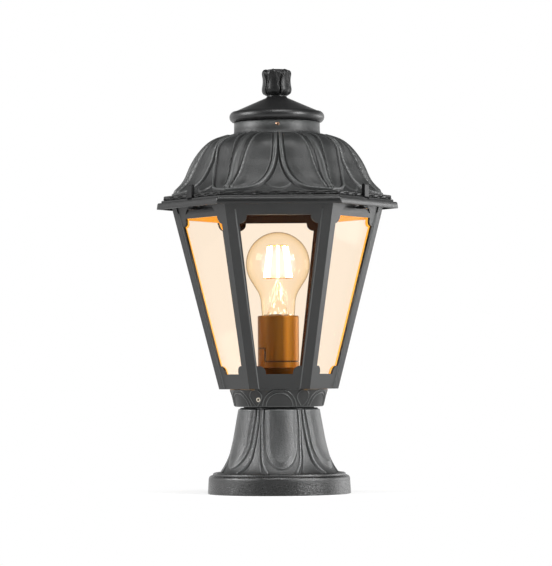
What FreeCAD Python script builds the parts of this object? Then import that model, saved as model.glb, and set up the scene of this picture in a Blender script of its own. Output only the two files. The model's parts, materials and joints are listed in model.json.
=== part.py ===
import FreeCAD, Part
import Sketcher
import math
import operator
import os
from types import SimpleNamespace

# Hexagonal pedestal lantern in millimetres. +Z is up, the origin is the centre of the foot's underside.
# The hexagon's faces look towards 30, 90, 150, 210, 270 (front) and 330 degrees, its corners lie between.

FACE_ANGLES = (30, 90, 150, 210, 270, 330)
LATCH_ANGLES = (90, 210, 330)
COLLAR_SCREW_ANGLES = (3, 123, 243)
FRAME_SCREW_ANGLES = (60, 180, 300)
PLATE_SCREW_ANGLES = (0, 120, 240)
CAP_SCREW_ANGLES = (30, 150, 270)
FILAMENT_ANGLES = (0, 45, 90, 135, 180, 225, 270, 315)
FIXING_ANGLES = (30, 150, 270)
PETAL_TURN = 2
FINIAL_TURN = -17
COS30 = math.cos(math.radians(30))
V = FreeCAD.Vector
UP = V(0, 0, 1)

# Free-form profiles as shares of their own height and width, from foot to top
COLUMN_PROFILE = ((0, 1), (0.08, 0.79), (0.32, 0.43), (0.65, 0.195), (1, 0))
DOME_PROFILE = (
    (0, 1), (0.115, 0.868), (0.262, 0.743), (0.455, 0.657),
    (0.697, 0.515), (0.896, 0.302), (0.971, 0.097), (1, 0),
)
FINIAL_PROFILE = (
    (0, 0.75), (0.05, 0.88), (0.12, 0.97), (0.2, 1), (0.32, 0.98),
    (0.52, 0.93), (0.7, 0.94), (0.84, 0.97), (0.94, 0.9), (1, 0.76),
)

DRIVING_SIZES = {
    # pedestal
    "foot_radius": 67.2,
    "foot_draft": 0.9,
    "foot_height": 17.4,
    "foot_round": 3.0,
    "ring_radius": 62.4,
    "ring_height": 2.4,
    "ring_round": 1.2,
    "ring_groove": 0.9,
    "column_foot_radius": 57.4,
    "column_top_radius": 36.2,
    "column_height": 60.7,
    "column_sink": 0.8,
    "pedestal_wall": 3.8,
    "pedestal_floor": 5.0,
    "spigot_radius": 33.0,
    "spigot_wall": 3.0,
    "fixing_circle_radius": 25.0,
    "fixing_hole_radius": 3.25,
    # petals of the pedestal
    "petal_half_width": 18.4,
    "petal_closing": 4.5,
    "petal_closing_rise": 15.0,
    "petal_edge": 0.7,
    "petal_edge_width": 1.3,
    "petal_gap_depth": 1.3,
    "tongue_half_width": 13.1,
    "tongue_foot": 6.5,
    "tongue_height": 0.9,
    "tongue_crown": 1.0,
    "side_leaf_height": 0.9,
    # cable inlet and terminals
    "grommet_radius": 7.0,
    "grommet_flange": 2.0,
    "grommet_bore_radius": 3.5,
    "block_length": 26.0,
    "block_depth": 16.0,
    "block_height": 15.0,
    "block_setback": 14.0,
    "block_screw_radius": 1.7,
    "lead_radius": 1.0,
    "lead_height": 13.0,
    "lead_spread": 5.0,
    "lead_bend": 6.0,
    # neck collar
    "neck_gap": 1.0,
    "collar_foot_radius": 41.4,
    "collar_top_radius": 45.7,
    "collar_swell": 0.2,
    "collar_height": 16.5,
    "collar_fit": 0.3,
    "arch_radius": 15.6,
    "arch_step": 3.3,
    "arch_height": 0.55,
    "arch_line": 0.95,
    "arch_rise": 0.6,
    "bud_radius": 6.0,
    "bud_rise": 9.6,
    "collar_screw_radius": 2.1,
    "collar_screw_height": 6.8,
    "screw_fit": 0.05,
    # lantern frame
    "frame_foot_radius": 56.0,
    "frame_head_radius": 99.6,
    "frame_height": 171.6,
    "frame_wall": 4.2,
    "frame_floor": 4.0,
    "frame_bore_radius": 24.0,
    "post_width": 8.4,
    "panel_recess": 1.0,
    "window_foot": 14.0,
    "window_head": 11.9,
    "window_margin_foot": 9.8,
    "window_margin_head": 11.4,
    "window_corner": 6.6,
    "window_lip": 0.9,
    "catch_width": 56.0,
    "catch_height": 5.0,
    "catch_drop": 2.8,
    "catch_depth": 1.6,
    "frame_screw_circle": 40.8,
    # diffuser
    "diffuser_gap": 0.4,
    "diffuser_wall": 2.0,
    "diffuser_drop": 4.0,
    # lampholder and its plate
    "plate_radius": 37.0,
    "plate_thickness": 2.2,
    "plate_boss_foot_radius": 15.0,
    "plate_boss_radius": 11.5,
    "plate_boss_height": 5.2,
    "plate_screw_circle": 31.0,
    "screw_radius": 1.9,
    "screw_head_radius": 3.4,
    "screw_head_height": 2.2,
    "nipple_radius": 5.0,
    "nipple_bore_radius": 3.6,
    "nipple_tail": 8.0,
    "nut_thickness": 3.4,
    "nut_radius": 8.0,
    "holder_radius": 19.35,
    "holder_wall": 2.4,
    "holder_base_height": 14.1,
    "holder_cone_height": 8.6,
    "holder_foot_radius": 12.5,
    "holder_floor": 2.4,
    "holder_skirt_height": 43.3,
    "holder_bore_length": 27.0,
    "holder_bore_radius": 14.6,
    "holder_round": 1.4,
    "joint_gap": 0.7,
    "tab_edge": 13.2,
    "tab_height": 13.1,
    "insert_height": 12.0,
    "insert_drop": 2.4,
    "shell_radius": 14.4,
    "shell_wall": 0.7,
    "shell_height": 30.0,
    "contact_radius": 2.6,
    "terminal_size": 4.6,
    # bulb
    "bulb_radius": 30.0,
    "bulb_length": 105.0,
    "bulb_glass_wall": 0.8,
    "bulb_turn": 32.0,
    "bulb_neck_radius": 16.2,
    "bulb_neck_arc": 24.0,
    "bulb_neck_taper": 1.0,
    "bulb_tail_radius": 12.7,
    "bulb_shoulder": 1.6,
    "bulb_cap_radius": 13.3,
    "bulb_cap_wall": 0.5,
    "bulb_cap_height": 24.0,
    "bulb_insulator_height": 2.6,
    "bulb_contact_radius": 4.5,
    "bulb_contact_height": 0.9,
    "bulb_seat": 0.1,
    "bulb_cap_stand": 1.2,
    "bulb_glass_seat": 5.0,
    "stem_radius": 5.4,
    "stem_height": 34.6,
    "stem_post_radius": 1.1,
    "filament_radius": 1.2,
    "filament_rise": 29.0,
    "filament_foot_radius": 12.4,
    "filament_top_radius": 8.6,
    "wire_radius": 0.4,
    # hood
    "rim_overhang": 14.0,
    "rim_lean": 0.9,
    "rim_drop": 2.4,
    "rim_height": 5.0,
    "rim_wall": 2.4,
    "ledge_step": 4.4,
    "ledge_height": 2.8,
    "rope_step": 1.8,
    "rope_height": 3.6,
    "rope_groove_radius": 1.5,
    "rope_pitch": 16.8,
    "dome_sink": 0.9,
    "dome_step": 5.4,
    "dome_top_radius": 41.4,
    "dome_height": 58.9,
    "dome_wall": 2.8,
    "dome_inside_margin": 5.0,
    "gasket_thickness": 0.8,
    "gasket_seat": 0.1,
    "gasket_margin": 0.3,
    # leaves of the hood
    "leaf_gap_foot": 33.0,
    "leaf_gap_decay": 14.5,
    "leaf_gap_flare": 14.0,
    "leaf_foot": 2.6,
    "leaf_rib_height": 1.5,
    "leaf_rib_width": 2.5,
    "leaf_groove_depth": 0.4,
    "leaf_gap_depth": 1.0,
    "leaf_vein_height": 1.2,
    "leaf_fold_height": 0.7,
    "leaf_fold_offset": 6.2,
    "leaf_tongue_height": 1.3,
    "leaf_tongue_radius": 17.5,
    # neck band, cap and finial
    "neck_radius": 40.4,
    "neck_bore_radius": 36.6,
    "neck_height": 12.0,
    "cap_radius": 44.7,
    "cap_gap": 0.4,
    "cap_edge_height": 9.6,
    "cap_edge_bulge": 5.6,
    "cap_cone_height": 12.9,
    "cap_groove": 1.0,
    "cap_stem_radius": 9.3,
    "cap_stem_flare": 1.9,
    "cap_stem_height": 2.6,
    "cap_wall": 3.2,
    "cap_spigot_height": 9.0,
    "cap_fit": 0.3,
    "cap_screw_height": 8.0,
    "cap_screw_radius": 1.1,
    "finial_radius": 13.7,
    "finial_height": 24.9,
    "finial_notch_depth": 10.5,
    "finial_notch_width": 9.0,
    "finial_groove_radius": 11.6,
    "finial_groove_width": 7.0,
    "finial_stud_radius": 3.0,
    "finial_stud_length": 9.5,
    "finial_nut_radius": 5.6,
    "finial_nut_height": 4.6,
    # latches
    "latch_width": 8.0,
    "latch_side_gap": 0.3,
    "latch_pin_radius": 0.9,
    "latch_pin_fit": 0.05,
    "latch_pin_hold": 4.0,
    "latch_pivot_standoff": 5.5,
    "latch_pivot_rise": 1.6,
    "latch_tab_height": 16.4,
    "latch_tab_depth": 3.2,
    "latch_cheek": 2.1,
    "latch_nose_gap": 0.3,
    "latch_nose_bite": 1.3,
    "latch_nose_height": 1.9,
    "latch_toe": 3.8,
}

doc = FreeCAD.newDocument("PedestalLantern")
sheet = doc.addObject("Spreadsheet::Sheet", "Sizes")
for row, (alias, number) in enumerate(DRIVING_SIZES.items(), start=1):
    sheet.set(f"A{row}", alias)
    sheet.set(f"B{row}", str(number))
    sheet.setAlias(f"B{row}", alias)
doc.recompute()

OPERATIONS = {"+": operator.add, "-": operator.sub, "*": operator.mul, "/": operator.truediv}


class Size:
    # A length known both as a number and as an expression on the sheet

    def __init__(self, value, text):
        self.value = value
        self.text = text

    def __add__(self, other):
        return joined(self, other, "+")

    def __sub__(self, other):
        return joined(self, other, "-")

    def __mul__(self, other):
        return joined(self, other, "*")

    def __truediv__(self, other):
        return joined(self, other, "/")

    def __neg__(self):
        return Size(-self.value, f"(-{self.text})")


def size_of(number):
    if isinstance(number, Size):
        return number
    return Size(float(number), f"({number})")


def joined(left, right, sign):
    left = size_of(left)
    right = size_of(right)
    return Size(OPERATIONS[sign](left.value, right.value), f"({left.text} {sign} {right.text})")


def sine(angle):
    return Size(math.sin(math.radians(angle.value)), f"sin({angle.text} * 1 deg)")


def root(number):
    return Size(math.sqrt(number.value), f"sqrt({number.text})")


def cosine(angle):
    return Size(math.cos(math.radians(angle.value)), f"cos({angle.text} * 1 deg)")


d = SimpleNamespace(**{alias: Size(sheet.get(alias), f"Sizes.{alias}") for alias in DRIVING_SIZES})

# Levels, from the ground up
ring_top = d.foot_height + d.ring_height
column_top = ring_top + d.column_height
collar_foot = column_top + d.neck_gap
frame_foot = collar_foot + d.collar_height
frame_floor_top = frame_foot + d.frame_floor
frame_head = frame_foot + d.frame_height
plate_top = frame_floor_top + d.plate_thickness
holder_foot = plate_top + d.plate_boss_height
holder_base_top = holder_foot + d.holder_base_height
skirt_top = holder_base_top + d.holder_skirt_height
insert_foot = holder_base_top - d.insert_drop
insert_top = insert_foot + d.insert_height
bulb_cap_top = skirt_top + d.bulb_cap_stand
bulb_cap_foot = bulb_cap_top - d.bulb_cap_height
bulb_contact_top = bulb_cap_foot - d.bulb_insulator_height
bulb_foot = bulb_contact_top - d.bulb_contact_height
bulb_centre = bulb_foot + d.bulb_length - d.bulb_radius
gasket_foot = frame_head + d.gasket_seat
shelf_foot = gasket_foot + d.gasket_thickness
rim_foot = frame_head - d.rim_drop
rim_top = rim_foot + d.rim_height
ledge_top = rim_top + d.ledge_height
rope_top = ledge_top + d.rope_height
dome_foot = rope_top - d.dome_sink
dome_top = dome_foot + d.dome_height
neck_top = dome_top + d.neck_height
cap_foot = neck_top + d.cap_gap
cap_edge_top = cap_foot + d.cap_edge_height
cap_stem_foot = cap_edge_top + d.cap_cone_height
cap_top = cap_stem_foot + d.cap_stem_height
pivot_height = shelf_foot + d.latch_pivot_rise

# The hood's hexagons and the latches follow the frame's head
rim_radius = d.frame_head_radius + d.rim_overhang
ledge_radius = rim_radius - d.ledge_step
rope_radius = ledge_radius - d.rope_step
dome_foot_radius = rope_radius - d.dome_step
pivot_radius = d.frame_head_radius * COS30 + d.latch_pivot_standoff

frame_slope = (d.frame_head_radius - d.frame_foot_radius) / d.frame_height


def frame_radius(height):
    return d.frame_foot_radius + (height - frame_foot) * frame_slope


def frame_inside(height):
    return frame_radius(height) - d.frame_wall / COS30


def panel_apothem(height):
    return frame_radius(height) * COS30 - d.panel_recess


# Makers of sketches, bodies and solids
nodes = {}


def named(label, thing):
    thing.Label = label
    nodes[label] = thing
    return thing


def bind(thing, path, length):
    thing.setExpression(path, length.text)


def origin_feature(body, role):
    return next(f for f in body.Origin.OriginFeatures if f.Role == role)


def arc_between(start, end, radius):
    chord = end - start
    left = V(-chord.y, chord.x, 0) / chord.Length
    reach = math.sqrt(max(radius * radius - chord.Length**2 / 4, 0))
    centre = (start + end) / 2 + left * math.copysign(reach, radius)
    first, last = (start, end) if radius > 0 else (end, start)
    angles = [math.atan2(p.y - centre.y, p.x - centre.x) for p in (first, last)]
    if angles[1] < angles[0]:
        angles[1] += 2 * math.pi
    return Part.ArcOfCircle(Part.Circle(centre, UP, abs(radius)), *angles)


def constrain(sketch, kind, *places):
    # The last place is the length, tied to the sheet where it comes from there
    length = size_of(places[-1])
    index = sketch.addConstraint(Sketcher.Constraint(kind, *places[:-1], length.value))
    if "Sizes" in length.text:
        sketch.setExpression(f"Constraints[{index}]", length.text)


def outline_sketch(body, name, role, outline, lift=None, holes=()):
    # A closed outline of (x, y) corners. A third item makes the edge to the next corner an arc
    # of that radius, turning left where it is positive. Holes are (x, y, radius).
    sketch = body.newObject("Sketcher::SketchObject", name)
    sketch.AttachmentSupport = [(origin_feature(body, role), "")]
    sketch.MapMode = "FlatFace"
    if lift is not None:
        bind(sketch, "AttachmentOffset.Base.z", lift)
    spots = [V(size_of(c[0]).value, size_of(c[1]).value, 0) for c in outline]
    count = len(outline)
    starts = []
    ends = []
    for i, corner in enumerate(outline):
        start, end = spots[i], spots[(i + 1) % count]
        turn = size_of(corner[2]).value if len(corner) == 3 else 0
        edge = arc_between(start, end, turn) if turn else Part.LineSegment(start, end)
        sketch.addGeometry(edge, False)
        starts.append(2 if turn < 0 else 1)
        ends.append(1 if turn < 0 else 2)
    for i, corner in enumerate(outline):
        follower = (i + 1) % count
        sketch.addConstraint(Sketcher.Constraint("Coincident", i, ends[i], follower, starts[follower]))
        constrain(sketch, "DistanceX", -1, 1, i, starts[i], corner[0])
        constrain(sketch, "DistanceY", -1, 1, i, starts[i], corner[1])
        if len(corner) == 3:
            turn = size_of(corner[2])
            constrain(sketch, "Radius", i, turn if turn.value > 0 else -turn)
    for x, y, radius in holes:
        centre = V(size_of(x).value, size_of(y).value, 0)
        index = sketch.addGeometry(Part.Circle(centre, UP, radius.value), False)
        constrain(sketch, "DistanceX", -1, 1, index, 3, x)
        constrain(sketch, "DistanceY", -1, 1, index, 3, y)
        constrain(sketch, "Radius", index, radius)
    return sketch


def new_body(name):
    return doc.addObject("PartDesign::Body", name)


def feature(body, kind, name, sketch):
    made = body.newObject(f"PartDesign::{kind}", name)
    made.Profile = sketch
    body.Tip = made
    return made


def turned(name, outline):
    # A body of revolution about Z, from an outline of (radius, height) corners
    body = new_body(name)
    sketch = outline_sketch(body, f"{name}_profile", "XZ_Plane", outline)
    turn = feature(body, "Revolution", f"{name}_turn", sketch)
    turn.ReferenceAxis = (sketch, ["V_Axis"])
    turn.Angle = 360
    return body


def polar(body, name, originals, count):
    pattern = body.newObject("PartDesign::PolarPattern", name)
    pattern.Originals = originals
    pattern.Axis = (origin_feature(body, "Z_Axis"), [""])
    pattern.Angle = 360
    pattern.Occurrences = count
    body.Tip = pattern
    return pattern


def hexagon(radius):
    turns = [math.radians(60 * i) for i in range(6)]
    return [(radius * math.cos(a), radius * math.sin(a)) for a in turns]


def rectangle(x0, y0, x1, y1):
    return [(x0, y0), (x1, y0), (x1, y1), (x0, y1)]


def ruled_loft(body, kind, name, low, low_outline, high, high_outline):
    foot = outline_sketch(body, f"{name}_foot", "XY_Plane", low_outline, low)
    head = outline_sketch(body, f"{name}_head", "XY_Plane", high_outline, high)
    loft = feature(body, kind, name, foot)
    loft.Sections = [head]
    loft.Ruled = True
    return loft


def padded(body, name, outline, low, height, holes=()):
    sketch = outline_sketch(body, f"{name}_outline", "XY_Plane", outline, low, holes)
    pad = feature(body, "Pad", name, sketch)
    bind(pad, "Length", height)
    return pad


def pocketed(body, name, sketch):
    pocket = feature(body, "Pocket", name, sketch)
    pocket.Type = "ThroughAll"
    return pocket


def placed(thing, x, y, z, rotation=None):
    # Places a thing at sizes from the sheet, turned by a fixed rotation
    sizes = [size_of(x), size_of(y), size_of(z)]
    thing.Placement = FreeCAD.Placement(V(*[s.value for s in sizes]), rotation or FreeCAD.Rotation())
    for axis, length in zip("xyz", sizes):
        if "Sizes" in length.text:
            bind(thing, f"Placement.Base.{axis}", length)
    return thing


def direction(angle):
    return V(math.cos(math.radians(angle)), math.sin(math.radians(angle)), 0)


def about_z(angle):
    return FreeCAD.Rotation(UP, angle)


def outwards(angle):
    # Turns local Z to point out from the axis at this angle
    return FreeCAD.Rotation(UP, direction(angle))


def cylinder(name, radius, height, x, y, z, rotation=None):
    made = doc.addObject("Part::Cylinder", name)
    bind(made, "Radius", radius)
    bind(made, "Height", height)
    return placed(made, x, y, z, rotation)


def box(name, length, width, height, x, y, z, rotation=None):
    made = doc.addObject("Part::Box", name)
    bind(made, "Length", length)
    bind(made, "Width", width)
    bind(made, "Height", height)
    return placed(made, x, y, z, rotation)


def on_circle(radius, angle):
    return radius * direction(angle).x, radius * direction(angle).y


def fused(name, things):
    made = doc.addObject("Part::MultiFuse", name)
    made.Shapes = things
    return made


def joined_pair(name, base, tool):
    made = doc.addObject("Part::Fuse", name)
    made.Base = base
    made.Tool = tool
    return made


def grouped(label, things):
    made = doc.addObject("Part::Compound", label)
    made.Links = things
    return named(label, made)


def cut(name, base, tool):
    made = doc.addObject("Part::Cut", name)
    made.Base = base
    made.Tool = tool
    return made


def shaped(name, shape):
    made = doc.addObject("Part::Feature", name)
    made.Shape = shape
    return made


# Carving: six equal sectors of a round or hexagonal form, lifted along their normals by a relief
def bump(x):
    return math.exp(-x * x)


def step(x, low, high):
    share = min(max((x - low) / (high - low), 0), 1)
    return share * share * (3 - 2 * share)


def carved(profile, foot, height, narrow, wide, rows, columns, roundness, relief):
    # A grid of points per face, lifted along the profile's normal, with the seams on the hexagon's corners
    curve = Part.BSplineCurve()
    curve.interpolate([V(narrow + r * (wide - narrow), 0, foot + h * height) for h, r in profile])
    first, last = curve.FirstParameter, curve.LastParameter
    levels = even(rows)
    grid = []
    run = 0
    before = curve.value(first)
    for share in levels:
        place = first + share * (last - first)
        point = curve.value(place)
        slope = curve.tangent(place)[0]
        run += (point - before).Length
        before = point
        line = []
        for angle in even(columns, math.radians(-30), math.radians(30)):
            flat = point.x * COS30 / math.cos(angle)
            radius = flat + (point.x - flat) * roundness(share)
            spot = SimpleNamespace(
                angle=abs(angle), radius=radius, corner=point.x, height=point.z - foot, run=run, share=share,
                rise=max(slope.z, 0.2),
            )
            lift = relief(spot)
            out = radius + lift * slope.z
            line.append(V(out * math.cos(angle), out * math.sin(angle), point.z - lift * slope.x))
        grid.append(line)
    surface = surface_through(grid, levels, even(columns))
    patch = surface.toShape()
    ends = [surface.uIso(k).toShape() for k in surface.bounds()[:2]]
    faces = [turned_copy(patch, angle) for angle in FACE_ANGLES]
    for edge in ends:
        ring = Part.Wire(Part.sortEdges([turned_copy(edge, angle) for angle in FACE_ANGLES])[0])
        faces.append(Part.Face(ring))
    skin = Part.makeCompound(faces)
    skin.sewShape()
    solid = Part.Solid(skin.Shells[0])
    if solid.Volume < 0:
        solid.reverse()
    return solid


def curve_through(points, places):
    curve = Part.BSplineCurve()
    curve.interpolate(Points=points, Parameters=places)
    return curve


def surface_through(grid, up_places, across_places):
    # Curves through the rows first, then curves through the poles of those
    across = [curve_through(line, across_places) for line in grid]
    columns = zip(*[curve.getPoles() for curve in across])
    up = [curve_through(list(column), up_places) for column in columns]
    poles = [list(row) for row in zip(*[curve.getPoles() for curve in up])]
    surface = Part.BSplineSurface()
    surface.buildFromPolesMultsKnots(
        poles, up[0].getMultiplicities(), across[0].getMultiplicities(),
        up[0].getKnots(), across[0].getKnots(), False, False, 3, 3,
    )
    return surface


def even(count, low=0.0, high=1.0):
    return [low + (high - low) * i / count for i in range(count + 1)]


def turned_copy(shape, angle):
    copy = shape.copy()
    copy.rotate(V(), UP, angle)
    return copy


def ends_fade(spot, margin=0.03):
    return step(spot.share, 0, margin) * (1 - step(spot.share, 1 - margin, 1))


def always_round(share):
    return 1


# Pedestal: a turned foot and ring, a column carved with six petals, and a spigot for the collar
def petal_widths(row):
    # Half widths at a level: the sector and the petal in it
    sector = row.corner * math.radians(30)
    closing = max(1 - row.run / d.petal_closing_rise.value, 0) ** 2
    petal = min(d.petal_half_width.value - d.petal_closing.value * closing, sector - d.petal_gap_depth.value)
    return sector, petal


def pedestal_relief(spot):
    sector, petal = petal_widths(spot)
    along = spot.radius * spot.angle
    within = petal - along
    tongue = d.tongue_half_width.value
    below = max(d.tongue_foot.value + tongue - spot.run, 0)
    in_tongue = tongue - math.hypot(along, below)
    from_middle = sector - along
    leaf = (sector - petal) * 0.75 - from_middle
    edge = d.petal_edge_width.value
    lift = -d.petal_gap_depth.value * (1 - step(within, -1.2 * edge, 0.5 * edge))
    lift += d.petal_edge.value * bump((within - 1.4 * edge) / edge)
    lift += d.tongue_height.value * step(in_tongue, -0.8 * edge, 0.8 * edge)
    lift += d.tongue_crown.value * step(in_tongue, 0, 4 * edge) * (1 - (along / tongue) ** 2 * 0.6)
    lift += d.side_leaf_height.value * step(leaf, -0.8 * edge, 1.2 * edge)
    return lift * ends_fade(spot, 0.04)


def make_pedestal():
    foot_edge = d.foot_radius - d.foot_draft
    foot = turned("pedestal_foot", [
        (0, 0),
        (d.foot_radius, 0),
        (foot_edge, d.foot_height - d.foot_round, d.foot_round),
        (foot_edge - d.foot_round, d.foot_height),
        (foot_edge - d.foot_round, d.foot_height - d.ring_groove),
        (d.ring_radius, d.foot_height - d.ring_groove),
        (d.ring_radius, ring_top - d.ring_round, d.ring_round),
        (d.ring_radius - d.ring_round, ring_top),
        (0, ring_top),
    ])
    column = shaped("pedestal_column", carved(
        COLUMN_PROFILE, (ring_top - d.column_sink).value, (d.column_height + d.column_sink).value,
        d.column_top_radius.value, d.column_foot_radius.value, 44, 54, always_round, pedestal_relief,
    ))
    column.Placement.Rotation = about_z(PETAL_TURN)
    spigot = cylinder("pedestal_spigot", d.spigot_radius, frame_foot - ring_top, 0, 0, ring_top)
    widths = d.column_foot_radius - d.column_top_radius
    inner = [
        (d.column_top_radius + widths * r - d.pedestal_wall, ring_top + d.column_height * h)
        for h, r in COLUMN_PROFILE[1:4]
    ]
    bore = d.spigot_radius - d.spigot_wall
    core = turned("pedestal_core", [
        (0, d.pedestal_floor),
        (inner[0][0], d.pedestal_floor),
        *inner,
        (bore, column_top - d.spigot_wall),
        (bore, frame_foot + d.frame_floor),
        (0, frame_foot + d.frame_floor),
    ])
    holes = [cylinder("pedestal_inlet", d.grommet_radius + d.screw_fit, d.pedestal_floor, 0, 0, 0)]
    for angle in FIXING_ANGLES:
        spot = on_circle(d.fixing_circle_radius, angle)
        holes.append(cylinder(f"pedestal_fixing_{angle}", d.fixing_hole_radius, d.pedestal_floor, *spot, 0))
    block_y = d.block_setback + d.block_depth / 2
    holes.append(cylinder(
        "pedestal_block_hole", d.block_screw_radius + d.screw_fit, d.pedestal_floor, 0, block_y, 0,
    ))
    blank = joined_pair("pedestal_blank", joined_pair("pedestal_shaft", column, spigot), foot)
    named("pedestal", cut("pedestal", blank, fused("pedestal_hollow", [core, *holes])))


def make_inlet():
    named("cable_grommet", turned("cable_grommet", [
        (d.grommet_bore_radius, d.screw_fit * 10),
        (d.grommet_radius, d.screw_fit * 10),
        (d.grommet_radius, d.pedestal_floor),
        (d.grommet_radius + d.grommet_flange, d.pedestal_floor),
        (d.grommet_radius + d.grommet_flange, d.pedestal_floor + d.grommet_flange),
        (d.grommet_bore_radius, d.pedestal_floor + d.grommet_flange),
    ]))


# Terminal block on the pedestal's floor, and the two leads from it to the lampholder
def make_terminals():
    block_y = d.block_setback + d.block_depth / 2
    block_top = d.pedestal_floor + d.block_height
    screw_depth = d.block_height / 2
    bare = box(
        "block_blank", d.block_length, d.block_depth, d.block_height,
        -d.block_length / 2, d.block_setback, d.pedestal_floor,
    )
    cuts = [cylinder(
        "block_fixing_hole", d.block_screw_radius + d.screw_fit, d.block_height, 0, block_y, d.pedestal_floor,
    )]
    screws = []
    for side in (-1, 1):
        entry = d.lead_spread * side
        cuts.append(cylinder(
            f"block_entry_{side}", d.lead_radius + d.screw_fit, d.block_depth / 4,
            entry, d.block_setback, d.lead_height, FreeCAD.Rotation(UP, V(0, 1, 0)),
        ))
        for row in (-1, 1):
            spot = (entry * 1.6, block_y + d.block_depth / 4 * row)
            cuts.append(cylinder(
                f"block_screw_hole_{side}_{row}", d.block_screw_radius + d.screw_fit, screw_depth,
                *spot, block_top - screw_depth,
            ))
            screws.append(cylinder(
                f"block_screw_{side}_{row}", d.block_screw_radius, screw_depth - d.screw_fit * 10,
                *spot, block_top - screw_depth,
            ))
    named("terminal_block", cut("terminal_block", bare, fused("block_cuts", cuts)))
    grouped("terminal_screws", screws)
    named("block_screw", cylinder(
        "block_screw", d.block_screw_radius, block_top - d.pedestal_floor / 4,
        0, block_y, d.pedestal_floor / 4,
    ))


def rounded_route(points, bend):
    # Straight runs joined by tangent arcs of one radius
    edges = []
    last = points[0]
    for before, corner, after in zip(points, points[1:], points[2:]):
        towards = (before - corner).normalize()
        away = (after - corner).normalize()
        half = towards.getAngle(away) / 2
        reach = bend / math.tan(half)
        middle = corner + (towards + away).normalize() * (bend / math.sin(half) - bend)
        start, end = corner + towards * reach, corner + away * reach
        edges += [Part.LineSegment(last, start).toShape(), Part.Arc(start, middle, end).toShape()]
        last = end
    edges.append(Part.LineSegment(last, points[-1]).toShape())
    return Part.Wire(edges)


def make_leads():
    inset = d.block_setback.value + d.block_depth.value / 4
    narrow = d.lead_radius.value * 1.5
    straight = (column_top.value - d.lead_height.value) * 0.7
    for label, side in (("lead_live", 1), ("lead_neutral", -1)):
        wide = d.lead_spread.value * side
        top = (insert_foot - d.terminal_size).value
        points = [
            V(wide, inset, d.lead_height.value),
            V(wide, 0, d.lead_height.value),
            V(wide, 0, straight),
            V(narrow * side, 0, column_top.value + d.lead_bend.value),
            V(narrow * side, 0, top),
        ]
        route = rounded_route(points, d.lead_bend.value)
        section = Part.Wire(Part.Circle(points[0], V(0, 1, 0), d.lead_radius.value).toShape())
        named(label, shaped(label, route.makePipeShell([section], True, False)))


# Neck collar: a carved ring that slips over the spigot, held by three set screws
def collar_relief(spot):
    along = spot.radius * spot.angle
    aside = spot.radius * math.radians(30) - along
    reach = math.hypot(along, spot.height - d.arch_rise.value)
    line = d.arch_line.value
    arch = bump((reach - d.arch_radius.value) / line)
    arch += bump((reach - d.arch_radius.value + d.arch_step.value) / line)
    above = spot.height - d.bud_rise.value
    taper = 1 - (max(-above, 0) / d.bud_rise.value) ** 1.5
    bud = bump((d.bud_radius.value * taper - math.hypot(aside, max(above, 0))) / line)
    swell = d.collar_swell.value * (1 - (2 * spot.share - 1) ** 2)
    return swell + d.arch_height.value * min(arch + bud, 1) * ends_fade(spot, 0.08)


def make_collar():
    ring = shaped("collar_ring", carved(
        ((0, 0), (0.5, 0.5), (1, 1)), collar_foot.value, d.collar_height.value, d.collar_foot_radius.value,
        d.collar_top_radius.value, 20, 54, always_round, collar_relief,
    ))
    tools = [cylinder("collar_bore", d.spigot_radius + d.collar_fit, d.collar_height, 0, 0, collar_foot)]
    level = collar_foot + d.collar_screw_height
    lean = (d.collar_top_radius - d.collar_foot_radius) / d.collar_height
    surface = d.collar_foot_radius + lean * d.collar_screw_height + d.collar_swell
    socket = d.collar_screw_radius / 2
    screws = []
    for angle in COLLAR_SCREW_ANGLES:
        tools.append(cylinder(
            f"collar_tapping_{angle}", d.collar_screw_radius + d.screw_fit, surface + d.collar_screw_radius,
            0, 0, level, outwards(angle),
        ))
        screw = turned(f"collar_screw_{angle}", [
            (0, d.spigot_radius + d.screw_fit),
            (d.collar_screw_radius, d.spigot_radius + d.screw_fit),
            (d.collar_screw_radius, surface),
            (socket, surface),
            (socket, surface - d.collar_screw_radius),
            (0, surface - d.collar_screw_radius),
        ])
        screws.append(placed(screw, 0, 0, level, outwards(angle)))
    for angle in FRAME_SCREW_ANGLES:
        spot = on_circle(d.frame_screw_circle, angle)
        tools.append(cylinder(
            f"collar_frame_hole_{angle}", d.screw_radius + d.screw_fit, d.collar_height / 2,
            *spot, frame_foot - d.collar_height / 2,
        ))
    named("neck_collar", cut("neck_collar", ring, fused("collar_cuts", tools)))
    grouped("collar_screws", screws)


# Lantern frame: a tapered hexagonal box with six windows, raised corner posts and three catch recesses
def window_outline():
    low = frame_foot + d.window_foot
    high = frame_head - d.window_head
    foot = frame_radius(low) / 2 - d.window_margin_foot
    head = frame_radius(high) / 2 - d.window_margin_head
    lean = (head - foot) / (high - low)
    corner = d.window_corner
    lip = d.window_lip
    reach = corner + lip
    low_side = foot + lean * reach
    high_side = head - lean * reach
    right = [
        (foot - reach, low),
        (foot - reach, low + lip, -corner),
        (low_side - lip, low + reach),
        (low_side, low + reach),
        (high_side, high - reach),
        (high_side - lip, high - reach, -corner),
        (head - reach, high - lip),
        (head - reach, high),
    ]
    left = [
        (-head + reach, high),
        (-head + reach, high - lip, -corner),
        (-high_side + lip, high - reach),
        (-high_side, high - reach),
        (-low_side, low + reach),
        (-low_side + lip, low + reach, -corner),
        (-foot + reach, low + lip),
        (-foot + reach, low),
    ]
    return right + left


def panel_outline(height):
    half = frame_radius(height) / 2 - d.post_width
    face = frame_radius(height) * COS30
    return rectangle(-half, face - d.panel_recess, half, face + d.frame_wall)


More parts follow.
